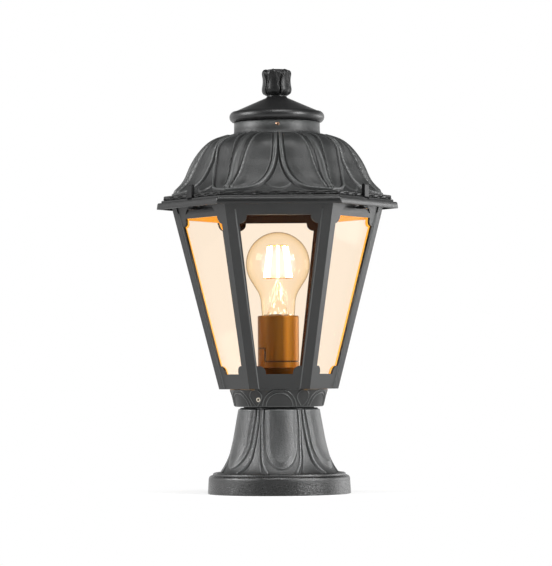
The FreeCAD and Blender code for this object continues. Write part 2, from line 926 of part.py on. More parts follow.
def make_frame():
    body = new_body("lantern_frame")
    over = frame_head + d.panel_recess
    under = frame_foot - d.panel_recess
    ruled_loft(
        body, "AdditiveLoft", "frame_outside",
        frame_foot, hexagon(d.frame_foot_radius), frame_head, hexagon(d.frame_head_radius),
    )
    ruled_loft(
        body, "SubtractiveLoft", "frame_inside",
        frame_floor_top, hexagon(frame_inside(frame_floor_top)), over, hexagon(frame_inside(over)),
    )
    panel = ruled_loft(
        body, "SubtractiveLoft", "frame_panel", under, panel_outline(under), over, panel_outline(over),
    )
    window = pocketed(
        body, "frame_window", outline_sketch(body, "frame_window_outline", "XZ_Plane", window_outline()),
    )
    polar(body, "frame_faces", [panel, window], len(FACE_ANGLES))
    catch_top = frame_head - d.catch_drop
    catch_foot = catch_top - d.catch_height
    half = d.catch_width / 2
    catch = pocketed(body, "frame_catch", outline_sketch(
        body, "frame_catch_outline", "XZ_Plane",
        [
            (-half, catch_foot), (half, catch_foot),
            (half - d.catch_height, catch_top), (-half + d.catch_height, catch_top),
        ],
        -(panel_apothem(catch_top) - d.catch_depth),
    ))
    polar(body, "frame_catches", [catch], len(LATCH_ANGLES))
    hole = d.screw_radius + d.screw_fit
    holes = [(*on_circle(d.frame_screw_circle, angle), hole) for angle in FRAME_SCREW_ANGLES]
    holes += [(*on_circle(d.plate_screw_circle, angle), hole) for angle in PLATE_SCREW_ANGLES]
    holes.append((0, 0, d.frame_bore_radius))
    circles = outline_sketch(body, "frame_hole_circles", "XY_Plane", [], frame_floor_top, holes)
    pocketed(body, "frame_holes", circles)
    named("lantern_frame", body)


def make_diffuser():
    body = new_body("diffuser")
    low = frame_floor_top
    high = frame_head - d.diffuser_drop

    def outside(height):
        return frame_inside(height) - d.diffuser_gap / COS30

    def inside(height):
        return outside(height) - d.diffuser_wall / COS30

    for way, name, face in (
        ("AdditiveLoft", "diffuser_outside", outside),
        ("SubtractiveLoft", "diffuser_inside", inside),
    ):
        ruled_loft(body, way, name, low, hexagon(face(low)), high, hexagon(face(high)))
    named("diffuser", body)


def pan_screws(label, circle, angles, seat, tip):
    screws = []
    crown = d.screw_head_height / 3
    for angle in angles:
        screw = turned(f"{label}_{angle}", [
            (0, tip),
            (d.screw_radius, tip),
            (d.screw_radius, seat),
            (d.screw_head_radius, seat),
            (d.screw_head_radius, seat + d.screw_head_height - crown),
            (d.screw_head_radius - crown, seat + d.screw_head_height),
            (0, seat + d.screw_head_height),
        ])
        screws.append(placed(screw, *on_circle(circle, angle), 0))
    grouped(label, screws)


# Lampholder on its plate
def make_lampholder():
    thread = d.nipple_radius + d.screw_fit
    plate = new_body("lampholder_plate")
    sketch = outline_sketch(plate, "plate_profile", "XZ_Plane", [
        (thread, frame_floor_top),
        (d.plate_radius, frame_floor_top),
        (d.plate_radius, plate_top),
        (d.plate_boss_foot_radius, plate_top),
        (d.plate_boss_radius, holder_foot),
        (thread, holder_foot),
    ])
    turn = feature(plate, "Revolution", "plate_turn", sketch)
    turn.ReferenceAxis = (sketch, ["V_Axis"])
    hole = d.screw_radius + d.screw_fit
    holes = [(*on_circle(d.plate_screw_circle, angle), hole) for angle in PLATE_SCREW_ANGLES]
    circles = outline_sketch(plate, "plate_hole_circles", "XY_Plane", [], plate_top, holes)
    pocketed(plate, "plate_holes", circles)
    named("lampholder_plate", plate)
    pan_screws("plate_screws", d.plate_screw_circle, PLATE_SCREW_ANGLES, plate_top, frame_foot + d.screw_fit)
    pan_screws(
        "frame_screws", d.frame_screw_circle, FRAME_SCREW_ANGLES, frame_floor_top,
        frame_foot - d.collar_height / 2 + d.screw_fit,
    )

    nut_seat = holder_foot + d.holder_floor
    named("threaded_nipple", turned("threaded_nipple", [
        (d.nipple_bore_radius, frame_floor_top - d.nipple_tail),
        (d.nipple_radius, frame_floor_top - d.nipple_tail),
        (d.nipple_radius, nut_seat + d.nut_thickness),
        (d.nipple_bore_radius, nut_seat + d.nut_thickness),
    ]))
    nuts = []
    for name, low in (("nipple_nut_low", frame_floor_top - d.nut_thickness), ("nipple_nut_high", nut_seat)):
        nut = new_body(name)
        padded(nut, f"{name}_pad", hexagon(d.nut_radius), low, d.nut_thickness, [(0, 0, thread)])
        nuts.append(nut)
    grouped("nipple_nuts", nuts)

    bore = d.holder_radius - d.holder_wall
    shoulder = holder_foot + d.holder_cone_height
    tab_top = holder_base_top + d.tab_height - d.joint_gap
    around = d.holder_radius * 2
    cup = turned("holder_cup", [
        (thread, holder_foot),
        (d.holder_foot_radius, holder_foot),
        (d.holder_radius - d.holder_round, shoulder - d.holder_round / 2),
        (d.holder_radius, shoulder),
        (d.holder_radius, tab_top),
        (bore, tab_top),
        (bore, insert_foot),
        (bore - d.holder_wall, insert_foot),
        (d.nut_radius + d.holder_wall, nut_seat),
        (thread, nut_seat),
    ])
    beside_tab = box("beside_tab", around, around, around, -d.tab_edge, -d.holder_radius, holder_base_top)
    named("lampholder_base", cut("lampholder_base", cup, beside_tab))
    narrow = skirt_top - d.holder_bore_length
    inset = d.holder_radius - d.joint_gap
    tube = turned("skirt_tube", [
        (bore, holder_base_top),
        (inset, holder_base_top),
        (inset, holder_base_top + d.joint_gap),
        (d.holder_radius, holder_base_top + d.joint_gap),
        (d.holder_radius, skirt_top - d.holder_round, d.holder_round),
        (d.holder_radius - d.holder_round, skirt_top),
        (d.holder_bore_radius, skirt_top),
        (d.holder_bore_radius, narrow),
        (bore, narrow),
    ])
    tab_slot = box(
        "tab_slot", around, around, d.tab_height * 2,
        d.joint_gap - d.tab_edge - around, -d.holder_radius, holder_base_top - d.tab_height,
    )
    named("lampholder_skirt", cut("lampholder_skirt", tube, tab_slot))

    named("lampholder_insert", turned("lampholder_insert", [
        (0, insert_foot),
        (bore - d.screw_fit * 2, insert_foot),
        (bore - d.screw_fit * 2, insert_top),
        (0, insert_top),
    ]))
    named("lampholder_shell", turned("lampholder_shell", [
        (d.shell_radius - d.shell_wall, insert_top),
        (d.shell_radius, insert_top),
        (d.shell_radius, insert_top + d.shell_height),
        (d.shell_radius - d.shell_wall, insert_top + d.shell_height),
    ]))
    named("centre_contact", turned("centre_contact", [
        (0, insert_top),
        (d.contact_radius * 2, insert_top),
        (d.contact_radius * 2, insert_top + d.shell_wall),
        (d.contact_radius, insert_top + d.shell_wall),
        (d.contact_radius, bulb_foot - d.bulb_seat),
        (0, bulb_foot - d.bulb_seat),
    ]))
    near = d.lead_radius / 2
    blocks = [
        box(
            f"holder_terminal_{name}", d.terminal_size, d.terminal_size, d.terminal_size,
            x, -d.terminal_size / 2, insert_foot - d.terminal_size,
        )
        for name, x in (("live", near), ("neutral", -near - d.terminal_size))
    ]
    grouped("holder_terminals", blocks)


# Bulb: a clear glass globe with a stem and eight filaments, on a screw cap
def make_bulb():
    neck = d.bulb_neck_radius
    neck_foot = neck - d.bulb_neck_taper
    tail = d.bulb_tail_radius
    shoulder = bulb_cap_top + d.bulb_shoulder
    wall = d.bulb_glass_wall
    bend = d.bulb_neck_arc
    turn_x = d.bulb_radius * cosine(d.bulb_turn)
    turn_z = bulb_centre - d.bulb_radius * sine(d.bulb_turn)
    bend_x = neck + bend * (size_of(1) - cosine(d.bulb_turn))
    bend_z = turn_z - (turn_x - bend_x) * cosine(d.bulb_turn) / sine(d.bulb_turn)
    neck_z = bend_z - bend * sine(d.bulb_turn)
    glass_foot = bulb_cap_top - d.bulb_glass_seat
    in_x = wall * cosine(d.bulb_turn)
    in_z = wall * sine(d.bulb_turn)
    named("bulb_glass", turned("bulb_glass", [
        (0, bulb_centre + d.bulb_radius, -d.bulb_radius),
        (turn_x, turn_z),
        (bend_x, bend_z, bend),
        (neck, neck_z),
        (neck_foot, shoulder),
        (tail, shoulder - wall * 1.5),
        (tail, glass_foot),
        (tail - wall, glass_foot),
        (tail - wall, shoulder - wall / 2),
        (neck_foot - wall, shoulder + wall),
        (neck - wall, neck_z, -(bend + wall)),
        (bend_x - in_x, bend_z + in_z),
        (turn_x - in_x, turn_z + in_z, d.bulb_radius - wall),
        (0, bulb_centre + d.bulb_radius - wall),
    ]))
    stem_foot = glass_foot
    stem_top = stem_foot + d.stem_height
    filament_foot = stem_top + d.stem_radius
    filament_top = filament_foot + d.filament_rise
    flare = tail - wall - d.bulb_seat
    named("bulb_stem", turned("bulb_stem", [
        (0, stem_foot),
        (flare, stem_foot),
        (flare, stem_foot + wall * 2),
        (d.stem_radius * 1.5, stem_foot + d.stem_radius * 2),
        (d.stem_radius, stem_top - d.stem_radius * 3),
        (d.stem_radius / 2, stem_top),
        (d.stem_post_radius, stem_top + d.stem_radius / 2),
        (d.stem_post_radius, filament_top + d.wire_radius * 4),
        (0, filament_top + d.wire_radius * 4),
    ]))
    filaments = []
    wires = []
    clear = d.stem_post_radius + d.screw_fit
    spread = d.filament_foot_radius - d.filament_top_radius
    length = root(spread * spread + d.filament_rise * d.filament_rise)
    for angle in FILAMENT_ANGLES:
        lean = direction(angle) * -spread.value + UP * d.filament_rise.value
        filaments.append(cylinder(
            f"filament_{angle}", d.filament_radius, length, *on_circle(d.filament_foot_radius, angle),
            filament_foot, FreeCAD.Rotation(UP, lean),
        ))
        for name, reach, level in (
            ("foot", d.filament_foot_radius, filament_foot - d.wire_radius * 2),
            ("top", d.filament_top_radius, filament_top + d.wire_radius * 2),
        ):
            wires.append(cylinder(
                f"filament_wire_{name}_{angle}", d.wire_radius, reach - clear + d.filament_radius,
                *on_circle(clear, angle), level, outwards(angle),
            ))
    grouped("bulb_filaments", filaments)
    grouped("bulb_wires", wires)
    cap_bore = d.bulb_cap_radius - d.bulb_cap_wall
    named("bulb_cap", turned("bulb_cap", [
        (cap_bore, bulb_cap_foot),
        (d.bulb_cap_radius, bulb_cap_foot),
        (d.bulb_cap_radius, bulb_cap_top),
        (cap_bore, bulb_cap_top),
    ]))
    named("bulb_insulator", turned("bulb_insulator", [
        (0, bulb_contact_top),
        (d.bulb_contact_radius, bulb_contact_top),
        (d.bulb_cap_radius, bulb_cap_foot),
        (0, bulb_cap_foot),
    ]))
    named("bulb_contact", turned("bulb_contact", [
        (0, bulb_foot),
        (d.bulb_contact_radius * 0.7, bulb_foot),
        (d.bulb_contact_radius, bulb_contact_top),
        (0, bulb_contact_top),
    ]))


# Hood: rim, ledge and rope row of plain hexagons, under a dome carved with six leaves and six petals
def dome_roundness(share):
    return step(share, 0.5, 1)


def leaf_gap(height):
    # Half the gap between two leaves at a height above their feet, and how fast it narrows
    foot = d.leaf_gap_foot.value * math.exp(-height / d.leaf_gap_decay.value)
    flare = d.leaf_gap_flare.value * math.exp(-height / d.leaf_foot.value)
    return foot + flare, foot / d.leaf_gap_decay.value + flare / d.leaf_foot.value


def hood_relief(spot):
    across = spot.radius * math.sin(spot.angle)
    from_hip = spot.corner / 2 - across
    height = spot.height - d.leaf_foot.value
    gap, narrowing = leaf_gap(max(height, 0))
    inside = (across - gap) / math.hypot(1, narrowing * spot.rise)
    if height < 0:
        inside = min(inside, height / spot.rise)
    rib = d.leaf_rib_width.value
    panel = step(inside, 2.4 * rib, 4.2 * rib)
    fold = d.leaf_fold_offset.value
    lift = -d.leaf_gap_depth.value * (1 - step(inside, -0.6 * rib, 0.4 * rib))
    lift += d.leaf_rib_height.value * bump((inside - 1.1 * rib) / (0.85 * rib))
    lift -= d.leaf_groove_depth.value * bump((inside - 2.5 * rib) / (0.6 * rib))
    vein = d.leaf_vein_height.value * math.exp(-from_hip * 4 / fold)
    vein -= d.leaf_vein_height.value * 0.35 * bump((from_hip - fold * 0.45) / (fold * 0.22))
    vein += d.leaf_fold_height.value * bump((from_hip - fold) / (fold * 0.4))
    vein -= d.leaf_fold_height.value * 0.4 * bump((from_hip - fold * 1.65) / (fold * 0.25))
    lift += panel * vein
    reach = d.leaf_tongue_radius.value
    below = max(d.leaf_foot.value * 2 + reach - spot.run, 0)
    in_tongue = min(-inside - 0.4 * rib, reach - math.hypot(across, below))
    crown = 1 - 0.35 * min(across / reach, 1) ** 2
    lift += d.leaf_tongue_height.value * crown * step(in_tongue, -0.2 * rib, 1.3 * rib)
    return lift * step(spot.share, 0, 0.03) * (1 - step(spot.share, 0.9, 0.985))


def dome_wall_relief(spot):
    return -d.dome_wall.value


def latch_frame(angle):
    # Local X looks out from the axis at this angle, local Y along the hood's side
    return FreeCAD.Placement(V(), about_z(angle))


def rope_grooves():
    # Slanted grooves that part the rope moulding into beads
    grooves = []
    apothem = rope_radius.value * COS30
    side = rope_radius.value
    count = int(side / d.rope_pitch.value)
    length = d.rope_height.value * 4
    middle = (ledge_top + d.rope_height / 2).value
    for face in FACE_ANGLES:
        for k in range(count + 1):
            offset = (k - count / 2) * d.rope_pitch.value
            groove = Part.makeCylinder(d.rope_groove_radius.value, length, V(0, 0, -length / 2))
            groove.rotate(V(), V(1, 0, 0), 50)
            groove.translate(V(apothem, offset, middle))
            groove.rotate(V(), UP, face)
            grooves.append(groove)
    return shaped("rope_grooves", Part.makeCompound(grooves))


def make_hood():
    rim = new_body("hood_rim")
    ruled_loft(
        rim, "AdditiveLoft", "rim_band",
        rim_foot, hexagon(rim_radius), rim_top, hexagon(rim_radius - d.rim_lean),
    )
    padded(rim, "rim_ledge", hexagon(ledge_radius), rim_top, d.ledge_height)
    padded(rim, "rim_rope", hexagon(rope_radius), ledge_top, d.rope_height)
    under = new_body("hood_under")
    padded(under, "hood_under_pad", hexagon(rim_radius - d.rim_wall / COS30), rim_foot, shelf_foot - rim_foot)
    mouth = new_body("hood_mouth")
    padded(mouth, "hood_mouth_pad", hexagon(frame_inside(frame_head)), rim_foot, rope_top - rim_foot)
    dome = shaped("hood_dome", carved(
        DOME_PROFILE, dome_foot.value, d.dome_height.value, d.dome_top_radius.value, dome_foot_radius.value,
        54, 64, dome_roundness, hood_relief,
    ))
    inside = shaped("hood_inside", carved(
        DOME_PROFILE, dome_foot.value, d.dome_height.value, d.dome_top_radius.value,
        (dome_foot_radius - d.dome_inside_margin).value, 16, 12, dome_roundness, dome_wall_relief,
    ))
    neck = cylinder("hood_neck", d.neck_radius, d.neck_height + d.dome_sink, 0, 0, dome_top - d.dome_sink)
    bore = cylinder("hood_bore", d.neck_bore_radius, d.neck_height * 2, 0, 0, dome_top - d.neck_height)
    roped = cut("hood_roped_rim", rim, rope_grooves())
    blank = joined_pair("hood_blank", joined_pair("hood_crown", dome, neck), roped)
    hollow = cut("hood_shell", blank, fused("hood_hollow", [inside, under, mouth, bore]))
    small = []
    notch_foot = pivot_radius - d.latch_cheek - d.latch_side_gap * 3
    notch_width = d.latch_width + d.latch_side_gap * 2
    rim_inside = rim_radius * COS30 - d.rim_wall
    for angle in LATCH_ANGLES:
        corner = latch_frame(angle).multVec(V(notch_foot.value, -notch_width.value / 2, 0))
        notch = box(
            f"latch_notch_{angle}", rim_inside - notch_foot - d.latch_side_gap, notch_width,
            rope_top - rim_foot + d.latch_cheek, corner.x, corner.y, rim_foot, about_z(angle),
        )
        small.append(notch)
        small.append(pin(f"latch_pin_hole_{angle}", d.latch_pin_radius + d.screw_fit, angle))
    for angle in CAP_SCREW_ANGLES:
        small.append(cylinder(
            f"neck_screw_hole_{angle}", d.cap_screw_radius + d.screw_fit, d.cap_radius,
            0, 0, dome_top + d.cap_screw_height, outwards(angle),
        ))
    named("hood", cut("hood", hollow, fused("hood_small_cuts", small)))

    gasket = new_body("hood_gasket")
    outside = hexagon(d.frame_head_radius - d.gasket_margin / COS30)
    padded(gasket, "gasket_pad", outside, gasket_foot, d.gasket_thickness)
    opening = hexagon(frame_inside(frame_head) + d.gasket_margin / COS30)
    sketch = outline_sketch(gasket, "gasket_hexagon", "XY_Plane", opening, shelf_foot)
    pocketed(gasket, "gasket_opening", sketch)
    named("hood_gasket", gasket)


def pin(name, radius, angle):
    half = d.latch_width / 2 + d.latch_side_gap + d.latch_pin_hold
    start = latch_frame(angle).multVec(V(pivot_radius.value, -half.value, 0))
    return cylinder(name, radius, half * 2, start.x, start.y, pivot_height, outwards(angle + 90))


# Cap over the neck, its screws and the finial
def make_cap():
    spigot = d.neck_bore_radius - d.cap_fit
    spigot_bore = spigot - d.cap_wall
    spigot_foot = neck_top - d.cap_spigot_height
    bulge = d.cap_edge_bulge
    edge = d.cap_radius - bulge + root(bulge * bulge - d.cap_edge_height * d.cap_edge_height / 4)
    body = turned("cap_turned", [
        (spigot_bore, spigot_foot),
        (spigot, spigot_foot),
        (spigot, cap_foot),
        (edge, cap_foot, bulge),
        (edge, cap_edge_top),
        (edge - d.cap_groove, cap_edge_top - d.cap_groove / 2),
        (edge - d.cap_groove * 2, cap_edge_top + d.cap_groove / 4),
        (d.cap_stem_radius + d.cap_stem_flare, cap_stem_foot, -d.cap_stem_height),
        (d.cap_stem_radius, cap_top),
        (d.finial_stud_radius + d.screw_fit, cap_top),
        (d.finial_stud_radius + d.screw_fit, cap_top - d.cap_wall),
        (d.finial_nut_radius + d.cap_wall / 2, cap_top - d.cap_wall),
        (spigot_bore, cap_edge_top - d.cap_wall),
    ])
    level = dome_top + d.cap_screw_height
    holes = []
    screws = []
    head = d.cap_screw_radius * 0.6
    for angle in CAP_SCREW_ANGLES:
        holes.append(cylinder(
            f"cap_screw_hole_{angle}", d.cap_screw_radius + d.screw_fit, d.cap_radius,
            0, 0, level, outwards(angle),
        ))
        screw = turned(f"cap_screw_{angle}", [
            (0, spigot_bore),
            (d.cap_screw_radius, spigot_bore),
            (d.cap_screw_radius, d.neck_radius),
            (d.cap_screw_radius + head, d.neck_radius),
            (d.cap_screw_radius, d.neck_radius + head),
            (0, d.neck_radius + head),
        ])
        screws.append(placed(screw, 0, 0, level, outwards(angle)))
    named("cap", cut("cap", body, fused("cap_holes", holes)))
    grouped("cap_screws", screws)

    nut = new_body("finial_nut")
    padded(
        nut, "finial_nut_pad", hexagon(d.finial_nut_radius), cap_top - d.cap_wall - d.finial_nut_height,
        d.finial_nut_height, [(0, 0, d.finial_stud_radius + d.screw_fit)],
    )
    named("finial_nut", nut)


def make_finial():
    body = new_body("finial")
    radius = d.finial_radius
    height = d.finial_height
    sides = [(radius * r, cap_top + height * h) for h, r in FINIAL_PROFILE]
    foot = cap_top - d.finial_stud_length
    sketch = outline_sketch(body, "finial_profile", "XZ_Plane", [
        (0, foot),
        (d.finial_stud_radius, foot),
        (d.finial_stud_radius, cap_top),
        *sides,
        (0, cap_top + height),
    ])
    turn = feature(body, "Revolution", "finial_turn", sketch)
    turn.ReferenceAxis = (sketch, ["V_Axis"])
    turn.Angle = 360
    top = cap_top + height
    notch = pocketed(body, "finial_notch", outline_sketch(body, "finial_notch_outline", "YZ_Plane", [
        (0, top - d.finial_notch_depth),
        (d.finial_notch_width / 2, top),
        (-d.finial_notch_width / 2, top),
    ], d.finial_groove_radius))
    notch.Reversed = True
    groove = pocketed(body, "finial_groove", outline_sketch(body, "finial_groove_outline", "XY_Plane", [
        (d.finial_groove_radius, 0),
        (radius * 2, -d.finial_groove_width),
        (radius * 2, d.finial_groove_width),
    ], top))
    polar(body, "finial_petals", [notch, groove], len(FACE_ANGLES))
    named("finial", placed(body, 0, 0, 0, about_z(FINIAL_TURN)))


# Latches: a tab above the rim, a pivot in the ledge and a nose that catches under the frame's head
def latch_outline():
    nose_top = frame_head - d.catch_drop - d.latch_nose_gap
    nose_foot = nose_top - d.latch_nose_height
    tip = panel_apothem(frame_head) - d.latch_nose_bite
    tab_top = pivot_height + d.latch_tab_height
    cheek = d.latch_cheek
    tab = d.latch_tab_depth
    rounding = tab * 0.55
    return [
        (tip, nose_foot + d.latch_nose_height / 2),
        (tip + d.latch_nose_height * 1.4, nose_foot),
        (pivot_radius + d.latch_toe, nose_foot),
        (pivot_radius + d.latch_toe, nose_foot + d.latch_nose_height / 4),
        (pivot_radius + cheek, nose_foot + d.latch_nose_height * 0.7),
        (pivot_radius + cheek, pivot_height + cheek),
        (pivot_radius + tab, pivot_height + cheek + tab / 2),
        (pivot_radius + tab, tab_top - rounding, rounding),
        (pivot_radius, tab_top - rounding),
        (pivot_radius, pivot_height + cheek * 2),
        (pivot_radius - cheek, pivot_height + cheek / 2),
        (pivot_radius - cheek, pivot_height - cheek * 1.5),
        (pivot_radius - cheek * 2, nose_top),
        (tip, nose_top),
    ]


def make_latches():
    pins = []
    for number, angle in enumerate(LATCH_ANGLES, start=1):
        label = f"latch_{number}"
        body = new_body(label)
        bore = (pivot_radius, pivot_height, d.latch_pin_radius + d.latch_pin_fit)
        sketch = outline_sketch(body, f"{label}_outline", "XZ_Plane", latch_outline(), None, [bore])
        pad = feature(body, "Pad", f"{label}_pad", sketch)
        bind(pad, "Length", d.latch_width)
        pad.SideType = "Symmetric"
        named(label, placed(body, 0, 0, 0, about_z(angle)))
        pins.append(pin(f"latch_pin_{angle}", d.latch_pin_radius, angle))
    grouped("latch_pins", pins)


make_pedestal()
make_inlet()
make_terminals()
make_leads()
make_collar()
make_frame()
make_diffuser()
make_lampholder()
make_bulb()
make_hood()
make_cap()
make_finial()
make_latches()
doc.recompute()

# Nothing is written unless every object is sound
broken = [o.Label for o in doc.Objects if "Invalid" in o.State or "Error" in o.State]
if broken:
    raise RuntimeError(f"objects that failed: {broken}")
for thing in doc.Objects:
    base = getattr(thing, "BaseFeature", None)
    removes = thing.TypeId in ("PartDesign::Pocket", "PartDesign::SubtractiveLoft")
    if removes and base is not None and thing.Shape.Volume >= base.Shape.Volume:
        raise RuntimeError(f"{thing.Label} removes nothing")
for label, thing in nodes.items():
    if thing.Shape.isNull() or not thing.Shape.isValid() or not thing.Shape.Solids:
        raise RuntimeError(f"{label} is not a sound solid")

os.makedirs("parts", exist_ok=True)
for label, thing in nodes.items():
    thing.Shape.exportStep(f"parts/{label}.step")
    print(label, len(thing.Shape.Solids), round(thing.Shape.Volume, 1))
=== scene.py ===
import json
import math

import bpy
import numpy as np
from mathutils import Matrix, Vector


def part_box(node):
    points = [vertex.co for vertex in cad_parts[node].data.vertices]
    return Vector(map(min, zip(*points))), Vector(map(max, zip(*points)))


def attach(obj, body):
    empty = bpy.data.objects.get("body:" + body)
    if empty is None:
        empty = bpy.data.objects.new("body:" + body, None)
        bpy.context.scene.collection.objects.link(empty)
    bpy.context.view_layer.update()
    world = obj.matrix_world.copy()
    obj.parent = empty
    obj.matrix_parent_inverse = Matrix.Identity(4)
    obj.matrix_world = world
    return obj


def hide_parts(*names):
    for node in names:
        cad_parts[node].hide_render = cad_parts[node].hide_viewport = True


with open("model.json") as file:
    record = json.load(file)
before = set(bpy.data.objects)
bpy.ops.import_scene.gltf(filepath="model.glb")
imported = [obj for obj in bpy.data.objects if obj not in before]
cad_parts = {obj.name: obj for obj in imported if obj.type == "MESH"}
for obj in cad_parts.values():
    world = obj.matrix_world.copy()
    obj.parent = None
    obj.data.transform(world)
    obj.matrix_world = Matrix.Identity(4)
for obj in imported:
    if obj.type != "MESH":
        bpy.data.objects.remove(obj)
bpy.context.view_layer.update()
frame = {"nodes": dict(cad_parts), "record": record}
nodes = frame["nodes"]
scene = bpy.context.scene
scene.view_settings.view_transform = "Standard"
bpy.ops.object.select_all(action="DESELECT")
print("frame loaded:", len(nodes), "nodes")

# Lengths of the carved pieces are in millimetres here, and metres in their meshes
mm = 0.001
weldGap = 1e-6
cos30 = math.cos(math.radians(30))


def stepUp(x, low, high):
    share = np.clip((x - low) / (high - low), 0, 1)
    return share * share * (3 - 2 * share)


def bead(x, width):
    return np.sqrt(np.clip(1 - (x / width) ** 2, 0, 1))


def smoothLine(points, count):
    # A smooth line through a few profile points, with its direction at each place
    spots = np.array(points, float)
    places = np.concatenate(([0], np.cumsum(np.hypot(*np.diff(spots, axis=0).T))))
    gaps = np.diff(places)
    size = len(places)
    system = np.eye(size)
    known = np.zeros((size, 2))
    for i in range(1, size - 1):
        system[i, i - 1:i + 2] = gaps[i - 1], 2 * (gaps[i - 1] + gaps[i]), gaps[i]
        known[i] = 6 * ((spots[i + 1] - spots[i]) / gaps[i] - (spots[i] - spots[i - 1]) / gaps[i - 1])
    bend = np.linalg.solve(system, known)
    run = np.linspace(0, places[-1], count)
    k = np.clip(np.searchsorted(places, run, side="right") - 1, 0, size - 2)
    after = ((run - places[k]) / gaps[k])[:, None]
    before = 1 - after
    square = (gaps[k] ** 2 / 6)[:, None]
    line = before * spots[k] + after * spots[k + 1]
    line = line + square * ((before**3 - before) * bend[k] + (after**3 - after) * bend[k + 1])
    way = np.gradient(line, run, axis=0)
    return line, way / np.hypot(*way.T)[:, None]


def choose(pieces):
    bpy.ops.object.select_all(action="DESELECT")
    for piece in pieces:
        piece.select_set(True)
    bpy.context.view_layer.objects.active = pieces[0]


class Skin:
    # Rings of one closed skin: corner radius, height, roundness, normal and share, and what is carved there
    def __init__(self):
        self.rings = []
        self.carvers = []

    def ring(self, radius, height, roundness=0.0, normal=(0.0, 0.0), carve=None, share=0.0):
        self.rings.append((radius, height, roundness, *normal, share))
        self.carvers.append(carve)

    def plainRings(self, points, roundness=0.0):
        for radius, height in points:
            self.ring(radius, height, roundness)

    def carvedRings(self, line, way, roundness, carve, first=0):
        run = np.linspace(0, 1, len(line))
        for k in range(first, len(line)):
            self.ring(*line[k], roundness[k], (way[k, 1], -way[k, 0]), carve, run[k])

    def build(self, name, columns, turn=0.0):
        bpy.ops.object.select_all(action="DESELECT")
        count = len(self.rings)
        bpy.ops.mesh.primitive_grid_add(x_subdivisions=columns, y_subdivisions=count - 1, size=1)
        piece = bpy.context.object
        piece.name = name
        mesh = piece.data
        flat = np.empty(len(mesh.vertices) * 3)
        mesh.vertices.foreach_get("co", flat)
        flat = flat.reshape(-1, 3)
        around = (flat[:, 0] + 0.5) * 2 * math.pi
        row = np.rint((flat[:, 1] + 0.5) * (count - 1)).astype(int)
        radius, height, roundness, outward, upward, share = np.array(self.rings, float)[row].T
        local = np.mod(around, math.radians(60)) - math.radians(30)
        straight = radius * cos30 / np.cos(local)
        reach = straight + (radius - straight) * roundness
        lift = np.zeros(len(row))
        along = reach * np.sin(local)
        for carve in filter(None, dict.fromkeys(self.carvers)):
            chosen = np.array([carver is carve for carver in self.carvers])[row]
            lift[chosen] = carve(*(values[chosen] for values in (along, radius, height, outward, share)))
        out = reach + lift * outward
        angle = around + math.radians(turn)
        spots = np.stack((out * np.cos(angle), out * np.sin(angle), height + lift * upward), axis=1) * mm
        mesh.vertices.foreach_set("co", spots.ravel())
        mesh.update()
        bpy.ops.object.mode_set(mode="EDIT")
        bpy.ops.mesh.select_all(action="SELECT")
        bpy.ops.mesh.remove_doubles(threshold=weldGap)
        bpy.ops.mesh.normals_make_consistent(inside=False)
        bpy.ops.object.mode_set(mode="OBJECT")
        return piece


def cutAway(piece, cutters):
    # Joined cutters are taken out of the piece by a Boolean modifier
    choose(cutters)
    tool = cutters[0]
    if len(cutters) > 1:
        bpy.ops.object.join()
    modifier = piece.modifiers.new("cutAway", "BOOLEAN")
    modifier.operation = "DIFFERENCE"
    modifier.solver = "EXACT"
    modifier.object = tool
    choose([piece])
    bpy.ops.object.modifier_apply(modifier=modifier.name)
    bpy.data.objects.remove(tool)


holeSides = 32


def hole(radius, depth, place, turn=(0.0, 0.0, 0.0)):
    bpy.ops.mesh.primitive_cylinder_add(
        vertices=holeSides, radius=radius * mm, depth=depth * mm,
        location=[c * mm for c in place], rotation=turn,
    )
    return bpy.context.object


def dress(piece, body, slot, angle, *replaced):
    choose([piece])
    bpy.ops.object.shade_smooth_by_angle(angle=math.radians(angle))
    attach(piece, body)
    if replaced:
        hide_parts(*replaced)
    print(piece.name, len(piece.data.polygons), "faces")


